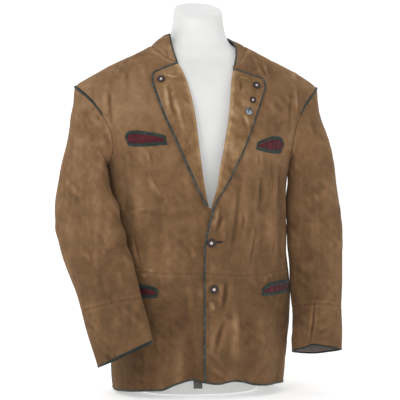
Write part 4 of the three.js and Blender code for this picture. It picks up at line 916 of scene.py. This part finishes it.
# Rings of a sleeve run from the armhole down: outer and inner corner, half thickness. Each fold has
# its ring, the angle round the sleeve, how far it reaches along and round, and its rise.
arms = {
    "right": {
        "side": -1, "long": 480, "cuff": 9.86, "end": 12,
        "edge": curve([0, 45, 90, 135, 180, 270, 315, 360], [-5, -7, -6, -3, 0, 0, -3, -5]),
        "rows": curves(sleeveColumns, [
            (0, -270, 2, 665, -199, 2, 500, 66), (1, -273, 9, 632, -207, -4, 486, 65),
            (2, -278, 13, 603, -204, -17, 465, 61), (3, -286, 12, 547, -199, -42, 438, 54),
            (4, -300, 10, 473, -188, -81, 411, 47), (5, -310, 1, 404, -183, -101, 373, 44),
            (6, -312, -8, 361, -178, -113, 344, 43), (7, -304, -20, 323, -172, -124, 319, 42),
            (8, -293, -35, 283, -167, -137, 295, 40), (9, -274, -54, 226, -158, -151, 254, 37),
            (10, -261, -71, 179, -150, -160, 215, 33), (11, -246, -88, 122, -138, -169, 170, 30),
            (12, -233, -102, 76, -128, -177, 133, 28),
        ]),
        "folds": [(2.5, 185, 1.0, 45, 5), (2.2, 60, 0.6, 45, -3), (4.6, 160, 0.5, 50, -3),
                  (5.6, 170, 0.5, 60, 3), (6.6, 165, 0.4, 55, -3), (7.6, 60, 0.5, 50, 2.5),
                  (9.2, 100, 0.5, 60, -2.5)],
    },
    "left": {
        "side": 1, "long": 460, "cuff": 8.31, "end": 10,
        "edge": curve([0, 45, 80, 110, 135, 180, 225, 270, 315, 360],
                      [-7, -6, -2, 1.5, -5, -10, -12, -13.6, -10, -7]),
        "rows": curves(sleeveColumns, [
            (0, 266, 2, 665, 199, 2, 500, 66), (1, 269, -2, 631, 205, 0, 487, 67),
            (2, 275, -6, 600, 204, -4, 471, 66), (3, 288, -12, 564, 203, -10, 453, 64),
            (4, 302, -18, 495, 200, -16, 423, 61), (5, 312, -26, 407, 198, -24, 375, 58),
            (6, 317, -34, 347, 198, -32, 331, 56), (7, 312, -48, 269, 200, -46, 270, 52),
            (8, 307, -66, 200, 199, -64, 202, 48), (9, 304, -80, 145, 197, -78, 153, 45),
            (10, 302, -88, 102, 196, -86, 104, 43),
        ]),
        "folds": [(4.2, 180, 1.7, 45, 4.3), (7.5, 185, 1.0, 45, 3.5), (2.5, 80, 0.6, 40, -3),
                  (5.2, 130, 0.4, 45, -2.5), (6.2, 120, 0.5, 60, 2.5), (7.4, 90, 0.5, 70, -3)],
    },
}


# The seams' places round the sleeve, how many rings the join to the armhole and the free cuff take.
sleeve = {"topFrom": -100, "topTo": 100, "underTo": 260, "join": 1.6, "cuffRings": 2}
sleeveSeams = {"low": 0.9, "high": 0.4, "left": 0.08, "right": 0.08}


def sleeveBase(arm, ring, at):
    rows = arm["rows"]

    def corner(key, k):
        return vec(rows[key + "X"](k), rows[key + "Y"](k), rows[key + "Z"](k))

    def centre(k):
        return (corner("out", k) + corner("in", k)) / 2

    def ellipse(k):
        arrow = (corner("out", k) - corner("in", k)) / 2
        axis = centre(np.minimum(k + 0.3, arm["end"])) - centre(np.maximum(k - 0.3, 0))
        forward = unit(np.cross(axis, arrow))
        forward = np.where(forward[..., 1:2] > 0, -forward, forward)
        angle = np.radians(at)[..., None]
        return centre(k) + arrow * np.cos(angle) + forward * rows["half"](k)[..., None] * np.sin(angle)

    seamAt, seamZ = armhole(at, -jacket["seamGap"])
    seam = clothPoint(arm["side"] * seamAt, seamZ, -1)
    near = ease(1 - ring / sleeve["join"])[..., None]
    point = ellipse(ring) + (seam - ellipse(0 * ring)) * near
    point[..., 2] += arm["edge"](at % 360) * ease(1 + (ring - arm["end"]) / sleeve["cuffRings"])
    return point


def sleevePoint(arm, ring, at, out=0):
    ring, at = np.broadcast_arrays(np.asarray(ring, float), np.asarray(at, float))
    base = sleeveBase(arm, ring, at)
    around = sleeveBase(arm, ring, at + 2) - sleeveBase(arm, ring, at - 2)
    down = sleeveBase(arm, np.minimum(ring + 0.1, arm["end"]), at) - sleeveBase(arm, ring - 0.1, at)
    normal = unit(np.cross(around, down)) * arm["side"]
    rise = 0
    for foldRing, foldAt, rings, wide, height in arm["folds"]:
        away = ((at - foldAt + 540) % 360 - 180) / wide
        rise = rise + height * np.exp(-away ** 2 - ((ring - foldRing) / rings) ** 2)
    seen = ease(0.5 + 2 * np.sin(np.radians(at)))
    free = ease(ring / 0.5)
    rise = rise + seen * creased(base, sleeveCreases) * free + rippled(base) * waveHeight["sleeve"] * free
    return base + normal * (out + rise)[..., None]


def sleevePiece(name, node, arm, rings, ats, slots, edges, half=1, shift=0, tube=False):
    grid = sleevePoint(arm, rings[:, None], ats[None, :], shift)
    outward = unit(sleevePoint(arm, rings[:, None], ats[None, :], shift + 1) - grid)
    outer = grid + outward * (half + seamRelief(grid, edges))[..., None]
    wornAndShaded = wornAndShadedOf(outer, outward, tube)
    return clothSheet(name, outer, grid - outward * half, slots, [node], tube, wornAndShaded)


for name, arm in arms.items():
    rings = np.linspace(0, arm["cuff"], counted(arm["long"]))
    topAts = np.linspace(sleeve["topFrom"], sleeve["topTo"], counted(210))
    underAts = np.linspace(sleeve["topTo"], sleeve["underTo"], counted(170))
    allAts = np.arange(counted(330) - 1) * 360 / (counted(330) - 1)
    bandRings = np.linspace(arm["cuff"], arm["end"], counted(90))
    liningRings = np.linspace(arm["end"] - 1.2, arm["end"] - 0.04, counted(52))
    sleevePiece(f"sleeveTop_{name}", f"sleeve_top_{name}", arm, rings, topAts, suedeAndLining, sleeveSeams)
    sleevePiece(f"sleeveUnder_{name}", f"sleeve_under_{name}", arm, rings, underAts, suedeAndLining,
                sleeveSeams)
    sleevePiece(f"cuffBand_{name}", f"cuff_{name}", arm, bandRings, allAts, suedeAndLining, {"low": 0.4},
                tube=True)
    sleevePiece(f"cuffLining_{name}", f"cuff_lining_{name}", arm, liningRings, allAts, ["lining"], {},
                half=0.5, shift=-2.1, tube=True)
print("lapels, collar and sleeves are on")


# Bound edges: a strip that wraps the edge of the cloth

def smoothed(points, times):
    for _ in range(times):
        points = np.concatenate([points[:1], (points[:-2] + 2 * points[1:-1] + points[2:]) / 4, points[-1:]])
    return points


def strip(name, middle, inward, slot, nodes, half=2.6, thick=1.9, closed=False, corners=12):
    if closed:
        along = unit(np.roll(middle, -1, 0) - np.roll(middle, 1, 0))
    else:
        middle, inward = smoothed(middle, 4), smoothed(unit(inward), 4)
        along = unit(np.gradient(middle, axis=0))
    inward = unit(inward - along * np.sum(inward * along, -1, keepdims=True))
    normal = np.cross(along, inward)
    angle = np.linspace(0, 2 * np.pi, corners, endpoint=False)
    wave = 1 + 0.05 * np.sin(np.arange(len(middle)) * 1.9) * np.sin(np.arange(len(middle)) * 0.53)
    wide, tall = half * np.cos(angle)[:, None], thick * signedPower(np.sin(angle), 0.8)[:, None]
    ring = middle[:, None] + inward[:, None] * wide + normal[:, None] * tall * wave[:, None, None]
    count = len(middle)
    faces = quads(count, corners, True, looped=closed)
    if not closed:
        faces += [list(range(corners)), list(range((count - 1) * corners, count * corners))]
    return makePiece(name, ring.reshape(-1, 3), faces, [slot], nodes=nodes, sharp=80)


def edgeOf(points, inside, reach):
    inward = unit(inside - points)
    return points - inward * reach, inward


def joined(*runs):
    return np.concatenate([r[0] for r in runs]), np.concatenate([r[1] for r in runs])


def lapelEdge(side):
    steps = np.linspace(0.5, 2, 40)
    rows = np.linspace(lapelTop - lapelTrim, 0.02, 130)
    top = lapelPoint(side, lapelTop - lapelTrim, steps)
    topRun = edgeOf(top, lapelPoint(side, lapelTop - 0.6, steps), -0.8)
    edge = lapelPoint(side, rows, 2)
    edgeRun = edgeOf(edge, lapelPoint(side, rows, 1.8), -0.8)
    return joined(topRun, edgeRun)


# Where the lapel's edge turns under the roll and runs on as the front edge: x, z, out, and which
# way the strip lies.
foldUnder = [(6.2, 404, 2.7, -0.6), (5.3, 400, 1.8, 0), (4.5, 396, 0.4, 0.6)]


def foldUnderRun():
    x, z, out, aside = [np.array(column, float) for column in zip(*foldUnder)]
    return frontPoint(1, turnAtX(x, z), z, out), vec(aside, 0.8, 0)


def frontEdgeRun():
    z = np.linspace(392, hemZ(1, True, 0.0) + 5, 140)
    x = frontLimit(1, z)
    return edgeOf(frontPoint(1, turnAtX(x, z), z, -1), frontPoint(1, turnAtX(x + 6, z), z, -1), -0.8)


def hemRun(side, front):
    share = np.linspace(0, 1, 110)
    low = hemZ(side, front, share) + 2.4
    return edgeOf(skirtAt(side, front, share, low, -1), skirtAt(side, front, share, low + 6, -1), -0.2)


def ventRun(side, front):
    edge, inner = (1.0, 0.97) if front else (0.0, 0.03)
    z = np.linspace(hemZ(side, front, edge) + 4, jacket["ventTop"] + 4, 64)
    return edgeOf(skirtAt(side, front, edge, z, -1), skirtAt(side, front, inner, z, -1), -0.6)


def backwards(run):
    return run[0][::-1], run[1][::-1]


strip("lapelBinding_right", *lapelEdge(-1), "binding", ["binding_lapel_right"], half=2.9, thick=2)
strip("frontBinding_left", *joined(lapelEdge(1), foldUnderRun(), frontEdgeRun(), hemRun(1, True),
      ventRun(1, True)), "binding", ["binding_front_left"], half=2.5)
strip("hemBinding_right", *joined(hemRun(-1, True), ventRun(-1, True)), "binding", ["binding_hem_right"])
strip("hemBinding_back", *joined(backwards(ventRun(1, False)), hemRun(1, False),
      backwards(hemRun(-1, False)), ventRun(-1, False)), "binding", ["binding_hem_back"])

heights = np.linspace(-0.08, 1, 26)  # from just below the seam to the collar's top
first, last = collarPoint(heights, np.array([0, 0.01])), collarPoint(heights, np.array([1, 0.99]))
rim = collarPoint(np.array([1, 0.9]), collarAcross)
strip("collarBinding", *joined(edgeOf(first[:, 0], first[:, 1], -0.6), edgeOf(rim[0], rim[1], -0.4),
      backwards(edgeOf(last[:, 0], last[:, 1], -0.6))), "binding", ["binding_collar"], half=2.0, thick=1.8)
for name, arm in arms.items():
    around = np.arange(160) * 2.25
    mouth = sleevePoint(arm, arm["end"], around)
    inside = sleevePoint(arm, arm["end"] - 0.15, around)
    # The cuff binding takes the near-black facing cloth: partly the real dark piping, partly painted shade of
    # the cuff's shadowed opening.
    strip(f"cuffBinding_{name}", *edgeOf(mouth, inside, 1.0), "facing", [f"binding_cuff_{name}"],
          half=1.9, thick=1.8, closed=True)


# Strips over the tops of the armhole seams, pockets, and the cloth behind the edges

patchGrain, patchColumns = 1.8, 9


def patch(name, pointAt, long, slot, nodes, base, crown, thick=1.2):
    along, side = np.linspace(0, 1, counted(long, patchGrain)), np.linspace(0, 1, patchColumns)
    a, s = np.meshgrid(along, side, indexing="ij")
    swell = np.sqrt(np.maximum(0, 1 - (2 * s - 1) ** 2))
    outer = pointAt(a, s, base + crown * swell)
    inner = pointAt(a, s, base - thick)
    return clothSheet(name, outer, inner, [slot], nodes)


shoulderStrip = {"reach": 74, "narrow": 1.5, "swell": 5.5}
for name, arm in arms.items():
    def shoulderPoint(a, s, out):
        reach = shoulderStrip["reach"]
        at = mix(-reach, reach, a)
        swell = np.sin(np.radians(np.abs(at) * 180 / reach)) ** 0.8
        seamAt, z = armhole(at, mix(-0.6, shoulderStrip["narrow"] + shoulderStrip["swell"] * swell, s))
        return clothPoint(arm["side"] * seamAt, z, out)
    patch(f"armholeStrip_{name}", shoulderPoint, 240, "welt",
          [f"shoulder_strip_{name}"], 0.4, 1.8)

# Each pocket's mouth: turn, top and low edge.
pockets = {
    "chest_pocket_right": [(-23, 560, 541), (-27, 565, 540), (-34, 569, 538), (-41, 572, 537),
                           (-46, 570, 537.5), (-50.5, 559, 538.5)],
    "chest_pocket_left": [(28, 547, 531), (32, 552, 528), (36, 557, 525), (41, 560, 523), (46, 558, 522),
                          (52, 543, 521.5)],
    "lower_pocket_right": [(-30.5, 236, 218), (-35, 242, 216), (-42, 245, 216), (-50, 247, 217),
                           (-60, 249, 218), (-69, 247, 220)],
    "lower_pocket_left": [(33, 233, 218), (37, 241, 217), (43, 246, 217), (51, 247, 217.5),
                          (60, 248, 218.5), (69, 246, 220)],
}
for name, rows in pockets.items():
    side = 1 if rows[0][0] > 0 else -1
    table = curves(["top", "low"], sorted(rows))
    first, end = rows[0][0], rows[-1][0]
    wide = 7.5 if "chest" in name else 9

    def welt(upper):
        def at(a, s, out):
            turn = mix(first, end, a)
            top, low = table["top"](turn), table["low"](turn)
            half = (top - low) / 2 + 0.4
            width = mix(half, np.minimum(wide if upper else 7.5, half), ease(np.minimum(a, 1 - a) * 11))
            z = mix(top - width, top, s) if upper else mix(low, low + width, s)
            return frontPoint(side, turn, z, out * ease(np.minimum(a, 1 - a) * 14 + 0.35))
        return at

    def inside(a, s, out):
        turn = mix(first, end, mix(0.05, 0.95, a))
        z = mix(table["low"](turn) + 3, table["top"](turn) - 3, s)
        gather = 0.35 * np.sin(a * 34 + 3 * s) * np.sin(np.pi * s)
        return frontPoint(side, turn, z, out + gather)
    long = 95 if "chest" in name else 110
    patch(f"{name}_upperWelt", welt(True), long, "welt", [f"{name}_upper_welt"], 0.5, 2.6)
    patch(f"{name}_lowerWelt", welt(False), long, "welt", [f"{name}_lower_welt"], 0.5, 2.4)
    patch(f"{name}_lining", inside, long, "pocketInside", [f"{name}_inside"], 0.6, 0.2)

cornerFacing = {"z": (24, 130), "x": (-35, -16), "lean": 0.02}


def facingPoint(a, s, out):
    z = mix(*cornerFacing["z"], a)
    x = mix(*cornerFacing["x"], s) - (z - cornerFacing["z"][0]) * cornerFacing["lean"]
    return clothPoint(turnAtX(x, z), z, out)


patch("cornerFacing", facingPoint, 106, "underFacing", ["facing_right"], -3, 0, 1.3)
for name, side in sides:
    def underlapPoint(a, s, out):
        turn = side * mix(86, 94, s)
        return clothPoint(turn, mix(hem(turn) + 6, jacket["ventTop"] + 8, a), out)
    patch(f"ventUnderlap_{name}", underlapPoint, 165, "bodySuede", [], -3.1, 0, 1)
print("edges are bound, pockets and facings are in")


# Buttons, stud, buttonhole and stitches

def turnedPiece(name, profile, place, facing, slot, nodes=(), count=40):
    facing = unit(facing)
    first = unit(np.cross(facing, np.array([0.0, 0, 1])))
    second = np.cross(facing, first)
    angle = np.linspace(0, 2 * np.pi, count, endpoint=False)
    spokes = np.cos(angle)[:, None] * first + np.sin(angle)[:, None] * second
    points = np.concatenate([place + r * spokes + h * facing for r, h in profile])
    rings = len(profile)
    faces = quads(rings, count, True)
    if profile[0] != profile[-1]:
        faces += [list(range(count)), list(range((rings - 1) * count, rings * count))]
    else:
        kept = (rings - 1) * count
        faces = [[p % kept for p in face] for face in faces]
        points = points[:kept]
    return makePiece(name, points, faces, [slot], nodes=nodes, sharp=60)


def onFront(x, z):
    place = frontPoint(1, turnAtX(x, z), z, 0.0)
    across = frontPoint(1, turnAtX(x + 7, z), z, 0.0) - frontPoint(1, turnAtX(x - 7, z), z, 0.0)
    up = frontPoint(1, turnAtX(x, z + 7), z + 7, 0.0) - frontPoint(1, turnAtX(x, z - 7), z - 7, 0.0)
    facing = np.cross(across, up)
    return place, facing * (-1 if facing[1] > 0 else 1)


def onLapel(side, x, z):
    rows, steps = np.meshgrid(np.linspace(4, lapelTop, 200), np.linspace(1, 2, 90), indexing="ij")
    grid = lapelPoint(side, rows, steps)
    lastRow, lastStep = rows.shape[0] - 1, rows.shape[1] - 1
    r, s = np.unravel_index(np.argmin(np.hypot(grid[..., 0] - x, grid[..., 2] - z)), rows.shape)
    facing = np.cross(grid[min(r + 8, lastRow), s] - grid[r - 8, s],
                      grid[r, min(s + 6, lastStep)] - grid[r, s - 6])
    facing = unit(facing * (-1 if facing[1] > 0 else 1))
    return grid[r, s] + facing, facing


# Each button: across, up, radius, and the lapel that it sits on.
buttons = {
    "button_waist": (2, 334, 9.5, 0), "button_skirt": (8, 235, 9.5, 0),
    "button_lapel_right": (-95, 680, 8.5, -1), "button_lapel_left_upper": (111, 668, 8.5, 1),
    "button_lapel_left_lower": (99, 636, 7.5, 1),
}
for name, (x, z, radius, side) in buttons.items():
    place, facing = onFront(x, z) if side == 0 else onLapel(side, x, z)
    place = place + unit(facing) * 0.5
    bore = radius * 0.37
    rimShape = [(bore, 0.4), (radius * 0.86, 0.1), (radius * 0.97, 0.9), (radius, 1.8),
                (radius * 0.96, 2.7), (radius * 0.86, 3.3), (radius * 0.7, 3.3), (radius * 0.56, 2.8),
                (bore + 0.5, 2.5), (bore, 1.6), (bore, 0.4)]
    turnedPiece(f"{name}_horn", rimShape, place, facing, "horn", [f"{name}_rim"])
    heart = [(bore * 0.98, 0.3), (bore * 0.98, 1.7), (bore * 0.8, 2.3), (bore * 0.5, 2.6),
             (bore * 0.2, 2.75), (0.05, 2.78)]
    turnedPiece(f"{name}_pearl", heart, place, facing, "pearl", [f"{name}_centre"])
stud = {"across": 89, "up": 612, "dome": [(7.6, 0.0), (8.5, 0.3), (8.4, 1.1), (7.6, 1.8), (6.6, 2.6),
                                          (4.8, 3.5), (2.8, 4.0), (1, 4.2), (0.05, 4.22)]}
place, facing = onLapel(1, stud["across"], stud["up"])
turnedPiece("lapelStud", stud["dome"], place + 0.4 * facing, facing, "metal", ["stud_lapel_left"])

buttonhole = {"across": 18.5, "up": 335.5, "half": 7, "open": 1.1}
loopAngle = np.linspace(0, 2 * np.pi, 60, endpoint=False)
loopX = buttonhole["across"] + buttonhole["half"] * np.cos(loopAngle)
loopZ = buttonhole["up"] + buttonhole["open"] * np.sin(loopAngle)
loop = frontPoint(1, turnAtX(loopX, loopZ), loopZ, 0.5)
inward = frontPoint(1, turnAtX(buttonhole["across"], buttonhole["up"]), buttonhole["up"], 0.5) - loop
strip("buttonhole", loop, inward, "darkThread", [], half=1.2, thick=0.8, closed=True, corners=8)


stitch = {"long": 3.0, "every": 4.4, "half": 0.55, "tip": 0.2, "flat": 0.7}


def stitches(name, line, lift):
    run = np.concatenate([[0], np.cumsum(np.linalg.norm(np.diff(line, axis=0), axis=1))])
    angle = np.linspace(0, 2 * np.pi, 6, endpoint=False)
    points, faces = [], []
    for start in np.arange(1, run[-1] - stitch["long"], stitch["every"]):
        ends = [np.array([np.interp(t, run, line[:, k]) for k in range(3)])
                for t in (start, start + stitch["long"])]
        way = unit(ends[1] - ends[0])
        up = unit(lift[np.searchsorted(run, start)] - way * np.dot(lift[np.searchsorted(run, start)], way))
        over = np.cross(way, up)
        base = len(points) * 6
        ring = np.cos(angle)[:, None] * over + stitch["flat"] * np.sin(angle)[:, None] * up
        for share, size in ((0, "tip"), (0.2, "half"), (0.8, "half"), (1, "tip")):
            points.append(mix(ends[0], ends[1], share) + stitch[size] * ring)
        faces += quads(4, 6, True, base)
        faces += [[base + j for j in range(6)], [base + 18 + j for j in range(6)]]
    return makePiece(name, np.concatenate(points), faces, ["thread"], sharp=80)


def seamLine(pointAt):
    share = np.linspace(0, 1, 220)
    line = pointAt(share, 0.15)
    return line, pointAt(share, 1.15) - line


def frontStitch(share, out):
    z = mix(388, 44, share)
    return frontPoint(1, turnAtX(frontLimit(1, z) + 9, z), z, out)


def lapelStitch(side):
    def at(share, out):
        row = mix(0.8, 8.2, share)
        return lapelPoint(side, row, 2 - np.clip(7 / (12 + 8 * row), 0.05, 0.5), 1.0 + out)
    return at


stitches("frontStitches", *seamLine(frontStitch))
stitches("lapelStitches_left", *seamLine(lapelStitch(1)))
stitches("lapelStitches_right", *seamLine(lapelStitch(-1)))
print("buttons and stitches are sewn on")


# Dress form

# Sections of the form: height, half width, front and back depth, tilt. At the shoulders it follows
# the jacket from inside.
form = {"sides": 48, "square": 2.2, "under": 4.5, "shoulders": [712, 722, 732], "sections": [
    (0, 125, 80, 80, 0), (1.5, 127.5, 82.5, 82.5, 0), (6, 129, 84, 84, 0), (40, 146, 96, 97, 0),
    (110, 165, 112, 115, 0), (180, 168, 112, 118, 0), (283, 150, 98, 100, 0), (400, 160, 112, 105, 0),
    (500, 172, 124, 112, 0), (580, 176, 122, 111, 0), (640, 177, 102, 98, 0), (680, 182, 81, 84, 0),
    (700, 181, 70, 77, 0), (745, 102, 50, 57, 0), (755, 79, 47, 54, 0.01), (764, 68, 45.5, 52.5, 0.02),
    (775, 63, 45, 51, 0.05), (785, 59.5, 46, 51, 0.1), (803, 56, 49, 54, 0.22), (822, 54, 51, 52, 0.34),
    (833, 52.5, 51, 51, 0.4), (835.2, 51.5, 50, 50, 0.4), (836, 49.5, 48, 48, 0.4), (836, 30, 29, 29, 0.4),
]}
angle = np.linspace(0, 2 * np.pi, form["sides"], endpoint=False)


def formRing(section):
    z, wide, front, back, slope = section
    power = 2 / form["square"]
    y = -np.where(np.cos(angle) > 0, front, back) * signedPower(np.cos(angle), power)
    return vec(wide * signedPower(np.sin(angle), power), y, z + y * slope)


def shoulderRing(z):
    turn = np.degrees(angle)
    point = bodySection(turn, z) - bodyNormal(turn, z) * (jacket["wall"] + form["under"])
    point[:, 1] *= 1 - 0.16 * np.abs(np.cos(angle)) * ease((z - form["shoulders"][0]) / 40)
    return point


rings = [formRing(s) for s in form["sections"] if s[0] < form["shoulders"][0]]
rings += [shoulderRing(z) for z in form["shoulders"]]
rings += [formRing(s) for s in form["sections"] if s[0] > form["shoulders"][-1]]
count, total = form["sides"], len(rings)
faces = quads(total, count, True)
faces += [list(range(count)), list(range((total - 1) * count, total * count))]
dressForm = makePiece("dressForm", np.concatenate(rings), faces, ["form"], nodes=["dress_form"], sharp=180)
soften = dressForm.modifiers.new("soften", "SUBSURF")
soften.levels = soften.render_levels = 2
print("dress form stands")


# Studio

def pale(name, colour):
    made, shader = newMaterial(name, 0.9, Specular_IOR_Level=0.1)
    shader.inputs["Base Color"].default_value = linear(colour)
    shader.inputs["Emission Color"].default_value = linear(colour)
    shader.inputs["Emission Strength"].default_value = 0.4
    return made


# The floor turns up into the wall behind: depth and height in metres.
floorMesh = bpy.data.meshes.new("floor")
floorHalf = 14
floorTurn = [(-8, 0), (3.5, 0), (4.2, 0.06), (4.8, 0.25), (5.2, 0.6), (5.4, 1.1), (5.5, 2), (5.5, 9)]
floorMesh.from_pydata([(x, y, z) for y, z in floorTurn for x in (-floorHalf, floorHalf)], [],
                      [[2 * k, 2 * k + 1, 2 * k + 3, 2 * k + 2] for k in range(len(floorTurn) - 1)])
floorMesh.materials.append(pale("paleFloor", (246, 246, 246)))
floorMesh.shade_smooth()
floor = bpy.data.objects.new("floor", floorMesh)
bpy.context.collection.objects.link(floor)

studioLight = {"world": 0.52, "aim": (0, 0, 0.4)}
studio = bpy.data.worlds.new("studio")
bpy.context.scene.world = studio
studio.use_nodes = True
background = studio.node_tree.nodes["Background"]
background.inputs["Color"].default_value = (1, 1, 1, 1)
background.inputs["Strength"].default_value = studioLight["world"]

lamps = {
    "keyLight": {"at": (-2.4, -3.2, 2.6), "size": 1.8, "power": 57},
    "frontLight": {"at": (-0.5, -3.7, 0.9), "size": 1.2, "power": 14},
    "fillLight": {"at": (3.0, -2.6, 1.4), "size": 2.2, "power": 18},
    "topLight": {"at": (-0.4, 0.6, 3.4), "size": 2.4, "power": 22},
}
for name, lamp in lamps.items():
    data = bpy.data.lights.new(name, "AREA")
    data.size = lamp["size"]
    data.energy = lamp["power"]
    made = bpy.data.objects.new(name, data)
    made.location = lamp["at"]
    made.rotation_euler = (Vector(studioLight["aim"]) - made.location).to_track_quat("-Z", "Y").to_euler()
    bpy.context.collection.objects.link(made)
bpy.context.scene.view_settings.view_transform = "Standard"
